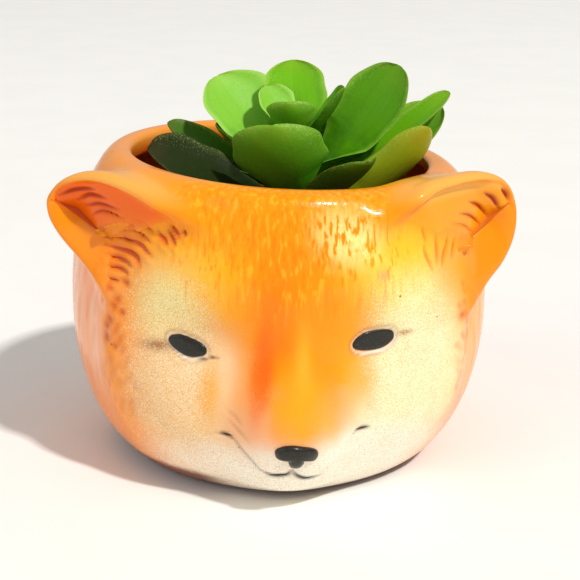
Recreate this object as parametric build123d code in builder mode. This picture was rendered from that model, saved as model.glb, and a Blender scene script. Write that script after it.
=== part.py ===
from build123d import *
from dataclasses import dataclass
from math import asin, atan2, cos, exp, hypot, radians, sin, sqrt
import os

# A small glazed ceramic planter in the form of a fox's head, with an artificial succulent that lifts out.
# Millimetres. +Z is up, -Y is the way the fox looks, +X is the fox's own left.
# The origin is on the table, under the middle of the whole planter.

# Outside of the pot
POT_HEIGHT = 78.0
BELLY_HEIGHT = 38.0
BELLY_RADIUS = 54.3
FOOT_RADIUS = 34.0
SHOULDER_RADIUS = 40.5
LOW_ROUNDNESS = 2.0
HIGH_ROUNDNESS = 2.2
FRONT_DEPTH = 0.90
BACK_DEPTH = 0.955
AXIS_Y = 4.1
RIM_TILT = 3.0

# Inside of the pot
FLOOR = 6.0
FLOOR_RADIUS = 33.0
HOLLOW_RADIUS = 49.4
HOLLOW_ROUNDNESS = 3.0
MOUTH_RADIUS = 38.0
LIP_BOTTOM = 73.5
LIP_UNDERCUT = 1.5
MOUTH_CUT = 8.0
LIP_ROUND = 1.4
FOOT_RING_WIDTH = 7.3
FOOT_RING_DEPTH = 1.5

# Eyes and nose, each a bead of black glaze set into the skin
LEFT_EYE = (19.7, 42.5)
RIGHT_EYE = (-23.6, 41.6)
EYE_HALF_LENGTH = 4.9
EYE_HALF_HEIGHT = 2.7
EYE_HALF_DEPTH = 1.8
EYE_SUNK = 1.0
EYE_SLANT = 20.0
NOSE_HEIGHT = 20.0
NOSE_LOBE_ACROSS = 3.3
NOSE_LOBE_UP = 1.0
NOSE_LOBE_RADIUS = 2.2
NOSE_TIP_DOWN = 1.6
NOSE_TIP_RADIUS = 1.7
NOSE_THICKNESS = 3.6
NOSE_SUNK = 2.6
NOSE_LEAN = 18.0
NOSE_ROUND = 0.7

# Ears
EAR_TIP = (59.5, -18.5)
EAR_FACING = 38.0
EAR_ROOT = (33.0, 63.0)

# Filling
FILL_GAP = 0.35
FOAM_TOP = 54.5
GRIT_TOP = 58.0

# Succulent
STEM_X = 5.0
STEM_Y = AXIS_Y + 1.0
PICK_RADIUS = 2.6
PICK_BOTTOM = 20.0
PICK_POINT = 3.0
PICK_CLEARANCE = 0.2
WIRE_RADIUS = 0.8
WIRE_BOTTOM = 26.0
WIRE_TOP = 80.0
CROWN_BOTTOM = GRIT_TOP + 0.3
CROWN_TOP = 85.0
CROWN_RADIUS = 4.8
CROWN_TIP_RADIUS = 1.8
LEAF_START = 1.0
LEAF_THICKNESS = 2.0
LEAF_CUP = 0.30
LEAF_WAIST = 0.20
LEAF_WIDEST = 0.62
LEAF_TWISTED_BY = 0.4
LEAF_STATIONS = (0.0, 0.12, 0.26, 0.44, 0.62, 0.76, 0.87, 0.94, 0.985)


@dataclass(frozen=True)
class Barrel:
    """A squat barrel with its belly at BELLY_HEIGHT, round at both ends and flatter towards the face."""

    low_height: float
    low_radius: float
    belly_radius: float
    high_height: float
    high_radius: float
    low_roundness: float
    high_roundness: float

    def radius(self, turn, z):
        """Radius at an angle from the front and a height."""
        low = z < BELLY_HEIGHT
        end_height = self.low_height if low else self.high_height
        end_radius = self.low_radius if low else self.high_radius
        share = min(1.0, (z - BELLY_HEIGHT) / (end_height - BELLY_HEIGHT))
        roundness = self.low_roundness if low else self.high_roundness
        level = end_radius + (self.belly_radius - end_radius) * sqrt(1.0 - share**roundness)
        depth = FRONT_DEPTH if cos(turn) > 0 else BACK_DEPTH
        depth = 1.0 - (1.0 - depth) * (1.0 - share**4)
        return level / hypot(sin(turn), cos(turn) / depth)

    def levels(self, top=None):
        """Heights for a loft: close together where the barrel turns in, even over its belly."""
        spread = [0.9898, 0.9595, 0.9086, 0.84, 0.72, 0.6, 0.48, 0.36, 0.24, 0.12]
        lower = [BELLY_HEIGHT - (BELLY_HEIGHT - self.low_height) * s for s in [1.0] + spread]
        upper = [BELLY_HEIGHT + (self.high_height - BELLY_HEIGHT) * s for s in [1.0] + spread]
        heights = lower + [BELLY_HEIGHT] + upper[::-1]
        return heights if top is None else [z for z in heights if z < top - 1.0] + [top]


SKIN = Barrel(0.0, FOOT_RADIUS, BELLY_RADIUS, POT_HEIGHT, SHOULDER_RADIUS, LOW_ROUNDNESS, HIGH_ROUNDNESS)
HOLLOW_TOP = MOUTH_RADIUS + LIP_UNDERCUT
HOLLOW = Barrel(FLOOR, FLOOR_RADIUS, HOLLOW_RADIUS, LIP_BOTTOM, HOLLOW_TOP, HOLLOW_ROUNDNESS, HOLLOW_ROUNDNESS)


@dataclass(frozen=True)
class Swell:
    """One soft rise or hollow of the face: where it is, how far it stands out, and its half sizes."""

    across: float
    height: float
    rise: float
    half_width: float
    half_up: float
    half_down: float

    def at(self, across, z):
        """Rise at a place on the face."""
        half = self.half_up if z > self.height else self.half_down
        reach = ((across - self.across) / self.half_width) ** 2 + ((z - self.height) / half) ** 2
        return self.rise * exp(-reach / 1.6)


def pair(across, *sizes):
    """The same swell on both sides of the face."""
    return [Swell(side * across, *sizes) for side in (-1, 1)]


MUZZLE = Swell(0.0, 18.0, 8.6, 10.5, 13.0, 16.0)
BRIDGE = Swell(0.0, 38.0, 3.6, 7.5, 17.0, 14.0)
CHEEKS = pair(27.0, 21.0, 2.6, 13.0, 11.0, 10.0)
BROWS = pair(19.0, 57.0, 1.8, 12.0, 7.0, 7.0)
SOCKETS = pair(21.5, 42.0, -1.9, 8.0, 5.0, 5.5)
RUFFS = pair(46.0, 34.0, 1.7, 4.0, 17.0, 15.0)
FACE = [MUZZLE, BRIDGE, *CHEEKS, *BROWS, *SOCKETS, *RUFFS]


def face_rise(turn, z):
    """How far the face stands out from the barrel, fading out towards the foot and the rim."""
    across = turn * 50.0
    fade = min(1.0, z / 6.0) * min(1.0, (POT_HEIGHT - z) / 9.0)
    return fade * sum(swell.at(across, z) for swell in FACE)


def skin_radius(turn, z):
    """Radius of the pot's outside."""
    return SKIN.radius(turn, z) + face_rise(turn, z)


def hollow_radius(turn, z):
    """Radius of the pot's inside."""
    return HOLLOW.radius(turn, z)


def fill_radius(turn, z):
    """Radius of what fills the pot."""
    return HOLLOW.radius(turn, z) - FILL_GAP


def on_skin(across, z):
    """Point of the pot's outside at a distance across from the middle of the face, and a height."""
    turn = asin(across / BELLY_RADIUS)
    for _ in range(8):
        turn = asin(across / skin_radius(turn, z))
    radius = skin_radius(turn, z)
    return Vector(radius * sin(turn), AXIS_Y - radius * cos(turn), z)


def skin_plane(across, z, sunk, lean=0.0):
    """Plane on the pot's skin that faces outwards, sunk below the skin and leaning back by some degrees."""
    point = on_skin(across, z)
    turn = atan2(point.X, AXIS_Y - point.Y)
    tip = radians(lean)
    out = Vector(sin(turn) * cos(tip), -cos(turn) * cos(tip), sin(tip))
    return Plane(origin=point - out * sunk, x_dir=(cos(turn), sin(turn), 0), z_dir=out)


# Angles of a level section, from the back and round: close together over the face, wider apart behind.
BACK_TURNS = [radians(15 * i) for i in range(-12, -6)]
FACE_TURNS = [radians(6 * i) for i in range(-15, 16)]
TURNS = BACK_TURNS + FACE_TURNS + [-t for t in BACK_TURNS[:0:-1]]


def level_plane(z):
    """Plane of a section: level up to the top of the grit, then leaning more and more up to the rim."""
    share = max(0.0, (z - GRIT_TOP) / (POT_HEIGHT - GRIT_TOP))
    lean = radians(RIM_TILT) * share**2
    return Plane(origin=(0, 0, z), x_dir=(cos(lean), 0, -sin(lean)), z_dir=(sin(lean), 0, cos(lean)))


def level_loft(radius_at, heights):
    """Draws a closed section at each height and lofts through them."""
    sections = []
    for z in heights:
        with BuildSketch(level_plane(z)) as level:
            with BuildLine():
                ring = [(radius_at(t, z) * sin(t), AXIS_Y - radius_at(t, z) * cos(t)) for t in TURNS]
                Spline(*ring, periodic=True)
            make_face()
        sections.append(level.sketch)
    loft(sections)


# Head, still solid: it gives the ears their seat before it is hollowed
with BuildPart() as head:
    level_loft(skin_radius, SKIN.levels())

# Ears: a rounded flap with its open side towards the front and outwards
EAR_RIM = [(41.0, 73.0), (30.0, 77.6), (18.0, 79.2), (9.0, 77.2), (2.4, 72.8), (0.2, 67.0)]
EAR_RIM += [(2.6, 61.6), (8.0, 56.8), (14.5, 52.4), (21.5, 48.0)]
EAR_FLAP = ((0.0, 0.06), (2.2, 0.0), (7.5, 0.06), (13.0, 0.28), (19.0, 0.6))
EAR_HOLLOW = ((-1.0, 0.15), (1.5, 0.22), (4.0, 0.40), (6.0, 0.70))


def ear_loft(sections):
    """Lofts the ear's outline through depths behind its open side, drawn in towards its root by shares."""
    facing = radians(EAR_FACING)
    inwards = Vector(-cos(facing), -sin(facing), 0)
    back = Vector(-sin(facing), cos(facing), 0)
    outlines = []
    for depth, share in sections:
        origin = Vector(EAR_TIP[0], EAR_TIP[1] + AXIS_Y, 0) + back * depth
        rim = [(h + share * (EAR_ROOT[0] - h), z + share * (EAR_ROOT[1] - z)) for h, z in EAR_RIM]
        with BuildSketch(Plane(origin=origin, x_dir=inwards, z_dir=back)) as outline:
            with BuildLine():
                edge = Spline(*rim)
                Line(edge @ 1, edge @ 0)
            make_face()
        outlines.append(outline.sketch)
    loft(outlines)


with BuildPart() as ear_hollow:
    ear_loft(EAR_HOLLOW)

with BuildPart() as left_ear:
    ear_loft(EAR_FLAP)
    add(ear_hollow.part, mode=Mode.SUBTRACT)
    add(head.part, mode=Mode.SUBTRACT)
left_ear.part.label = "left_ear"

with BuildPart() as right_ear:
    mirror(left_ear.part, about=Plane.YZ)
right_ear.part.label = "right_ear"


# Eyes: domed ovals, outer corners up
def eye_seat(across, z):
    """Place of an eye: its plane on the skin, turned so that the outer corner is up."""
    slant = EYE_SLANT if across > 0 else -EYE_SLANT
    return Location(skin_plane(across, z, EYE_SUNK)) * Rotation(0, 0, slant)


with BuildPart() as eye_bead:
    Sphere(1)
    scale(by=(EYE_HALF_LENGTH, EYE_HALF_HEIGHT, EYE_HALF_DEPTH))

with BuildPart() as left_eye:
    with Locations(eye_seat(*LEFT_EYE)):
        add(eye_bead.part)
left_eye.part.label = "left_eye"

with BuildPart() as right_eye:
    with Locations(eye_seat(*RIGHT_EYE)):
        add(eye_bead.part)
right_eye.part.label = "right_eye"

# Nose: a rounded triangle, wide at the top
with BuildPart() as nose_pad:
    with BuildSketch(skin_plane(0.0, NOSE_HEIGHT, NOSE_SUNK, NOSE_LEAN)):
        for side in (-1, 1):
            with Locations((side * NOSE_LOBE_ACROSS, NOSE_LOBE_UP)):
                Circle(NOSE_LOBE_RADIUS)
        with Locations((0, -NOSE_TIP_DOWN)):
            Circle(NOSE_TIP_RADIUS)
        make_hull()
    extrude(amount=NOSE_THICKNESS)
    fillet(nose_pad.faces().sort_by(Axis.Y)[0].edges(), NOSE_ROUND)
nose_pad.part.label = "nose_pad"

# Pot: the head with its hollow, its mouth, its foot ring and the seats of the eyes and nose
with BuildPart() as cavity:
    level_loft(hollow_radius, HOLLOW.levels())

with BuildPart() as pot_shell:
    add(head.part)
    add(cavity.part, mode=Mode.SUBTRACT)
    with BuildSketch(level_plane(POT_HEIGHT).offset(-MOUTH_CUT)):
        with Locations((0, AXIS_Y)):
            Circle(MOUTH_RADIUS)
    extrude(amount=MOUTH_CUT + 1.0, mode=Mode.SUBTRACT)
    lip = pot_shell.edges().filter_by(GeomType.CIRCLE).group_by(Axis.Z)[-1].sort_by(SortBy.RADIUS)[0]
    fillet(lip, LIP_ROUND)
    with BuildSketch():
        with Locations((0, AXIS_Y)):
            Circle(FOOT_RADIUS - FOOT_RING_WIDTH)
    extrude(amount=FOOT_RING_DEPTH, mode=Mode.SUBTRACT)
    add(ear_hollow.part, mode=Mode.SUBTRACT)
    mirror(ear_hollow.part, about=Plane.YZ, mode=Mode.SUBTRACT)
    for bead in (left_eye, right_eye, nose_pad):
        add(bead.part, mode=Mode.SUBTRACT)
pot_shell.part.label = "pot_shell"


# Filling: foam with a socket for the stem, and a layer of grit over it
def stem_socket():
    """Bores the socket that the stem's pick stands in."""
    with BuildSketch(Plane.XY.offset(PICK_BOTTOM - 0.5)) as bore:
        with Locations((STEM_X, STEM_Y)):
            Circle(PICK_RADIUS + PICK_CLEARANCE)
    extrude(bore.sketch, amount=GRIT_TOP, mode=Mode.SUBTRACT)


with BuildPart() as foam_plug:
    level_loft(fill_radius, HOLLOW.levels(FOAM_TOP))
    stem_socket()
foam_plug.part.label = "foam_plug"

with BuildPart() as grit_bed:
    level_loft(fill_radius, [FOAM_TOP, GRIT_TOP])
    stem_socket()
grit_bed.part.label = "grit_bed"

# Stem: a pointed pick below, a tapering crown above, round a steel wire
STEM_PLANE = Plane(origin=(STEM_X, STEM_Y, 0), x_dir=(1, 0, 0), z_dir=(0, -1, 0))

with BuildPart() as stem_wire:
    with BuildSketch(Plane(origin=(STEM_X, STEM_Y, WIRE_BOTTOM))):
        Circle(WIRE_RADIUS)
    extrude(amount=WIRE_TOP - WIRE_BOTTOM)
stem_wire.part.label = "stem_wire"

with BuildPart() as stem:
    with BuildSketch(STEM_PLANE):
        with BuildLine():
            Polyline(
                (0, PICK_BOTTOM),
                (PICK_RADIUS, PICK_BOTTOM + PICK_POINT),
                (PICK_RADIUS, CROWN_BOTTOM),
                (CROWN_RADIUS, CROWN_BOTTOM),
                (CROWN_TIP_RADIUS, CROWN_TOP),
                (0, CROWN_TOP),
                close=True,
            )
        make_face()
    revolve(axis=Axis((STEM_X, STEM_Y, 0), (0, 0, 1)))
    add(stem_wire.part, mode=Mode.SUBTRACT)
stem.part.label = "stem"


@dataclass(frozen=True)
class Leaf:
    """One leaf: where it grows on the stem, how it rises, bends and twists, and its size."""

    name: str
    turn: float
    root: float
    lift: float
    bend: float
    twist: float
    length: float
    width: float

    def plane(self, share):
        """Plane across the leaf at a share of its length: X along its width, Y up out of its hollow."""
        turn, lift, bend = radians(self.turn), radians(self.lift), radians(self.bend)
        slope = lift + bend * share
        out = self.length / bend * (sin(slope) - sin(lift))
        rise = self.length / bend * (cos(lift) - cos(slope))
        taper = (self.root - CROWN_BOTTOM) / (CROWN_TOP - CROWN_BOTTOM)
        reach = CROWN_RADIUS + (CROWN_TIP_RADIUS - CROWN_RADIUS) * taper - LEAF_START + out
        origin = (STEM_X + reach * sin(turn), STEM_Y - reach * cos(turn), self.root + rise)
        along = (sin(turn) * cos(slope), -cos(turn) * cos(slope), sin(slope))
        level = Plane(origin=origin, x_dir=(cos(turn), sin(turn), 0), z_dir=along)
        return level.rotated((0, 0, self.twist * min(1.0, share / LEAF_TWISTED_BY)))

    def half_width(self, share):
        """Half of the leaf's width: a narrow root, widest past the middle, a round tip."""
        if share < LEAF_WIDEST:
            swell = sin(radians(90) * share / LEAF_WIDEST) ** 1.4
            return self.width / 2 * (LEAF_WAIST + (1.0 - LEAF_WAIST) * swell)
        return self.width / 2 * sqrt(1.0 - ((share - LEAF_WIDEST) / (1.0 - LEAF_WIDEST)) ** 2.4)

    def thickness(self, share):
        """Thickness on the middle line."""
        return LEAF_THICKNESS * (1.0 - 0.6 * share**2)


LEAVES = (
    Leaf("leaf_crown_front", -27, 82.2, 42, 22, 11, 12.5, 12.5),
    Leaf("leaf_crown_left", -123, 82.7, 41, 20, -22, 14.5, 11),
    Leaf("leaf_crown_right", 86, 82.5, 42, 18, 0, 16, 9),
    Leaf("leaf_upper_back", -175, 78.9, 54, 27, -10, 23, 16.5),
    Leaf("leaf_upper_left", -119, 75.9, 28, 26, -24, 30, 23),
    Leaf("leaf_upper_corner", 91, 73.9, 34, 31, 54, 36, 17.5),
    Leaf("leaf_upper_right", 108, 71.7, 32, 20, 22, 32.5, 21),
    Leaf("leaf_upper_side", -98, 73.9, 18, 22, -7, 22.5, 14.5),
    Leaf("leaf_lower_front", -23, 66.7, 29, 44, 13, 29, 24),
    Leaf("leaf_lower_left", -67, 65.3, 12, 24, -34, 42.5, 19.5),
    Leaf("leaf_lower_side", -104, 68.6, 14, 23, -11, 36, 13),
    Leaf("leaf_lower_long", 90, 69.3, 22, 23, 19, 43.5, 10),
    Leaf("leaf_lower_tip", 95, 64.2, 24, 23, 24, 42.5, 20),
    Leaf("leaf_lower_right", 68, 61.7, 22, 35, -56, 40, 11),
    Leaf("leaf_lower_small", 30, 64.3, 27, 11, 2, 31, 16),
    Leaf("leaf_lower_back", 159, 69.3, 22, 19, -3, 31, 17),
    Leaf("leaf_lower_behind", -144, 70.0, 26, 20, 4, 30, 16),
)


def leaf_section(leaf, share):
    """Draws the crescent across a leaf: a hollow upper side over a rounder lower side."""
    half = leaf.half_width(share)
    cup = LEAF_CUP * half
    with BuildSketch(leaf.plane(share)) as crescent:
        with BuildLine():
            upper = ThreePointArc((-half, cup), (0, 0), (half, cup))
            ThreePointArc(upper @ 1, (0, -leaf.thickness(share)), upper @ 0)
        make_face()
    return crescent.sketch


leaf_parts = []
for leaf in LEAVES:
    with BuildPart() as leaf_part:
        loft([leaf_section(leaf, share) for share in LEAF_STATIONS])
        add(stem.part, mode=Mode.SUBTRACT)
        add(stem_wire.part, mode=Mode.SUBTRACT)
    leaf_part.part.label = leaf.name
    leaf_parts.append(leaf_part)

os.makedirs("parts", exist_ok=True)
POT_PARTS = [pot_shell, left_ear, right_ear, left_eye, right_eye, nose_pad, foam_plug, grit_bed]
for piece in POT_PARTS + [stem, stem_wire] + leaf_parts:
    export_step(piece.part, f"parts/{piece.part.label}.step")
    print(f"{piece.part.label:20s} {piece.part.volume:10.1f} mm3  valid {piece.part.is_valid}")
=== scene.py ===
"""Dresses a small glazed ceramic planter in the form of a fox's head, with an artificial succulent in it.

Sizes are in millimetres, in the frame of the solids: +Z up, -Y the way the fox looks, +X the fox's own left.
"""

import logging
from dataclasses import dataclass, field
from enum import Enum
from math import cos, pi, radians, sin, tau
from typing import Iterator, Sequence

import bmesh
import bpy
import numpy as np
from mathutils import Matrix, Vector
from mathutils.bvhtree import BVHTree


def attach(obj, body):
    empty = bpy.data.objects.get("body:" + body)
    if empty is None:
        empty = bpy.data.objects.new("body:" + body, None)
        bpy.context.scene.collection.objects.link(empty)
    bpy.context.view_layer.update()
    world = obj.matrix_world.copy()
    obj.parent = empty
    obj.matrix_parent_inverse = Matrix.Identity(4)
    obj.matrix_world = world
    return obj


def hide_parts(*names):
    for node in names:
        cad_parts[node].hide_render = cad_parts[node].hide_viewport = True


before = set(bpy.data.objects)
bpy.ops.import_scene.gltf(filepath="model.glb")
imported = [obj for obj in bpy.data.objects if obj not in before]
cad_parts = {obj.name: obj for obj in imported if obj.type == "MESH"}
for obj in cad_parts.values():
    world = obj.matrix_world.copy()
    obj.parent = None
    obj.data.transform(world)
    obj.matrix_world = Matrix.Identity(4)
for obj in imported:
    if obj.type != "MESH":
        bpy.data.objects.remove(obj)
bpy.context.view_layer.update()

LOG = logging.getLogger("planter")
MM = 0.001
CURVE_STEPS = 40

# Outside and inside of the pot
POT_HEIGHT = 78.0
BELLY_HEIGHT = 38.0
BELLY_RADIUS = 54.3
FOOT_RADIUS = 34.0
SHOULDER_RADIUS = 40.5
LOW_ROUNDNESS = 2.0
HIGH_ROUNDNESS = 2.2
HOLLOW_ROUNDNESS = 3.0
RIM_TILT = radians(3.0)
FRONT_DEPTH = 0.90
BACK_DEPTH = 0.955
AXIS_Y = 4.1
FLOOR = 6.0
FLOOR_RADIUS = 33.0
HOLLOW_RADIUS = 49.4
MOUTH_RADIUS = 38.0
LIP_BOTTOM = 73.5
LIP_UNDERCUT = 1.5
FOOT_RING_WIDTH = 7.3
FOOT_RING_DEPTH = 1.5

# The face is drawn unrolled: so many millimetres across for each radian
FACE_SPAN = 50.0

# How far the ears' open sides turn outwards
EAR_FACING = radians(38.0)

# Filling and succulent
FILL_GAP = 0.35
FOAM_TOP = 54.5
GRIT_TOP = 58.0
STEM_X = 5.0
STEM_Y = AXIS_Y + 1.0
SOCKET_RADIUS = 2.8
CROWN_BOTTOM = 58.3
CROWN_TOP = 85.0
CROWN_RADIUS = 4.8
CROWN_TIP_RADIUS = 1.8
PICK_RADIUS = 2.6
PICK_BOTTOM = 20.0
PICK_POINT = 3.0

Colour = tuple[int, int, int]
Line = tuple[tuple[float, float], ...]


def linear(colour: Colour) -> tuple[float, float, float, float]:
    """A colour as the shaders take it, from the numbers 0 to 255 that a screen shows."""
    shares = [value / 255.0 for value in colour]
    return (*(s / 12.92 if s <= 0.04045 else ((s + 0.055) / 1.055) ** 2.4 for s in shares), 1.0)


def smoothly(values: np.ndarray, start: float, end: float) -> np.ndarray:
    """Smooth step from nought at the start to one at the end."""
    share = np.clip((values - start) / (end - start), 0.0, 1.0)
    return share * share * (3.0 - 2.0 * share)


def smooth_line(points: Sequence[Sequence[float]], count: int, closed: bool = False) -> np.ndarray:
    """Draws a smooth line through points.

    Args:
        points: The points, in order, each with the same number of coordinates.
        count: How many points the line gets, evenly spaced.
        closed: Whether the line comes back to its first point.

    Returns:
        The line's points, one to a row.
    """
    knots = np.array(points, float)
    if closed:
        knots = np.vstack([knots[-1:], knots, knots[:2]])
    else:
        knots = np.vstack([2 * knots[:1] - knots[1:2], knots, 2 * knots[-1:] - knots[-2:-1]])
    share = np.linspace(0.0, 1.0, CURVE_STEPS, endpoint=False)[:, None]
    spans = []
    for before, start, end, after in zip(knots, knots[1:], knots[2:], knots[3:]):
        square = 2 * before - 5 * start + 4 * end - after
        cube = 3 * start - before - 3 * end + after
        spans.append(start + 0.5 * ((end - before) * share + square * share**2 + cube * share**3))
    line = np.vstack(spans + [knots[-2:-1]])
    steps = np.concatenate([[0.0], np.cumsum(np.linalg.norm(np.diff(line, axis=0), axis=1))])
    wanted = np.linspace(0.0, steps[-1], count, endpoint=not closed)
    return np.column_stack([np.interp(wanted, steps, axis) for axis in line.T])


def closed_skin(rings: np.ndarray) -> tuple[np.ndarray, list[list[int]]]:
    """Joins rings of points into one closed skin, with a pole at each end.

    Args:
        rings: Rings by points by coordinates, each ring with the same number of points.

    Returns:
        The points, and the faces as lists of their numbers.
    """
    count, size, _ = rings.shape
    points = np.vstack([rings[0].mean(0), rings.reshape(-1, 3), rings[-1].mean(0)])
    here = 1 + np.arange(count * size).reshape(count, size)
    beside = np.roll(here, -1, axis=1)
    walls = np.stack([here[:-1], beside[:-1], beside[1:], here[1:]], axis=-1).reshape(-1, 4)
    first = np.stack([np.zeros(size, int), beside[0], here[0]], axis=-1)
    last = np.stack([here[-1], beside[-1], np.full(size, len(points) - 1)], axis=-1)
    return points, walls.tolist() + first.tolist() + last.tolist()


def new_piece(name: str, points: np.ndarray, faces: list[list[int]],
              marks: dict[str, np.ndarray]) -> bpy.types.Object:
    """Makes a smooth mesh piece at the origin, with its faces outwards.

    Args:
        name: The piece's name.
        points: Its points, in millimetres.
        faces: Its faces.
        marks: Numbers kept on its points for its finish, by name.

    Returns:
        The piece.
    """
    mesh = bpy.data.meshes.new(name)
    mesh.from_pydata((points * MM).tolist(), [], faces)
    for label, values in marks.items():
        mesh.attributes.new(label, "FLOAT", "POINT").data.foreach_set("value", values.astype(np.float32))
    work = bmesh.new()
    work.from_mesh(mesh)
    bmesh.ops.recalc_face_normals(work, faces=work.faces)
    work.to_mesh(mesh)
    work.free()
    mesh.shade_smooth()
    piece = bpy.data.objects.new(name, mesh)
    bpy.context.scene.collection.objects.link(piece)
    return piece


class Body(Enum):
    """The two bodies of the planter."""

    PLANTER = "planter"
    SUCCULENT = "succulent"


class Slot(Enum):
    """The finishes of the record."""

    FOX_GLAZE = "fox_glaze"
    EAR_GLAZE = "ear_glaze"
    BLACK_GLAZE = "black_glaze"
    FOAM = "foam"
    GRIT = "grit"
    STEM_GREEN = "stem_green"
    WIRE = "wire"
    LEAF_GREEN = "leaf_green"


def settle(piece: bpy.types.Object, body: Body, slot: Slot, finish: bpy.types.Material, node: str) -> None:
    """Gives a finished piece its finish and its body, and hides the solid that it stands for."""
    piece.data.materials.clear()
    piece.data.materials.append(finish)
    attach(piece, body.value)
    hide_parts(node)
    LOG.info("%s: %d faces", piece.name, len(piece.data.polygons))


class Field:
    """A number that varies over a surface: a socket of a node tree, on which Python's own signs work."""

    def __init__(self, tree: bpy.types.NodeTree, socket: bpy.types.NodeSocket) -> None:
        """Keeps the tree and the socket."""
        self.tree = tree
        self.socket = socket

    def sum_of(self, operation: str, *values: "Field | float") -> "Field":
        """One Math node over numbers and other fields."""
        node = self.tree.nodes.new("ShaderNodeMath")
        node.operation = operation
        for place, value in zip(node.inputs, values):
            if isinstance(value, Field):
                self.tree.links.new(value.socket, place)
            else:
                place.default_value = value
        return Field(self.tree, node.outputs[0])

    def __add__(self, other: "Field | float") -> "Field":
        """Sum."""
        return self.sum_of("ADD", self, other)

    def __sub__(self, other: "Field | float") -> "Field":
        """Difference."""
        return self.sum_of("SUBTRACT", self, other)

    def __rsub__(self, other: float) -> "Field":
        """Difference from a number."""
        return self.sum_of("SUBTRACT", other, self)

    def __mul__(self, other: "Field | float") -> "Field":
        """Product."""
        return self.sum_of("MULTIPLY", self, other)

    def __truediv__(self, other: "Field | float") -> "Field":
        """Quotient."""
        return self.sum_of("DIVIDE", self, other)

    def __pow__(self, other: float) -> "Field":
        """Power."""
        return self.sum_of("POWER", self, other)

    __radd__ = __add__
    __rmul__ = __mul__

    def sin(self) -> "Field":
        """Sine."""
        return self.sum_of("SINE", self)

    def cos(self) -> "Field":
        """Cosine."""
        return self.sum_of("COSINE", self)

    def exp(self) -> "Field":
        """Natural exponential."""
        return self.sum_of("EXPONENT", self)

    def size(self) -> "Field":
        """Value without its sign."""
        return self.sum_of("ABSOLUTE", self)

    def at_most(self, other: "Field | float") -> "Field":
        """The smaller of two values."""
        return self.sum_of("MINIMUM", self, other)

    def at_least(self, other: "Field | float") -> "Field":
        """The larger of two values."""
        return self.sum_of("MAXIMUM", self, other)

    def below(self, other: "Field | float") -> "Field":
        """One where the value is below another, else nought."""
        return self.sum_of("LESS_THAN", self, other)

    def step(self, start: float, end: float) -> "Field":
        """Smooth step from nought at the start to one at the end."""
        node = self.tree.nodes.new("ShaderNodeMapRange")
        node.interpolation_type = "SMOOTHSTEP"
        self.tree.links.new(self.socket, node.inputs["Value"])
        node.inputs["From Min"].default_value = min(start, end)
        node.inputs["From Max"].default_value = max(start, end)
        rising = Field(self.tree, node.outputs["Result"])
        return rising if end > start else 1.0 - rising


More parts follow.
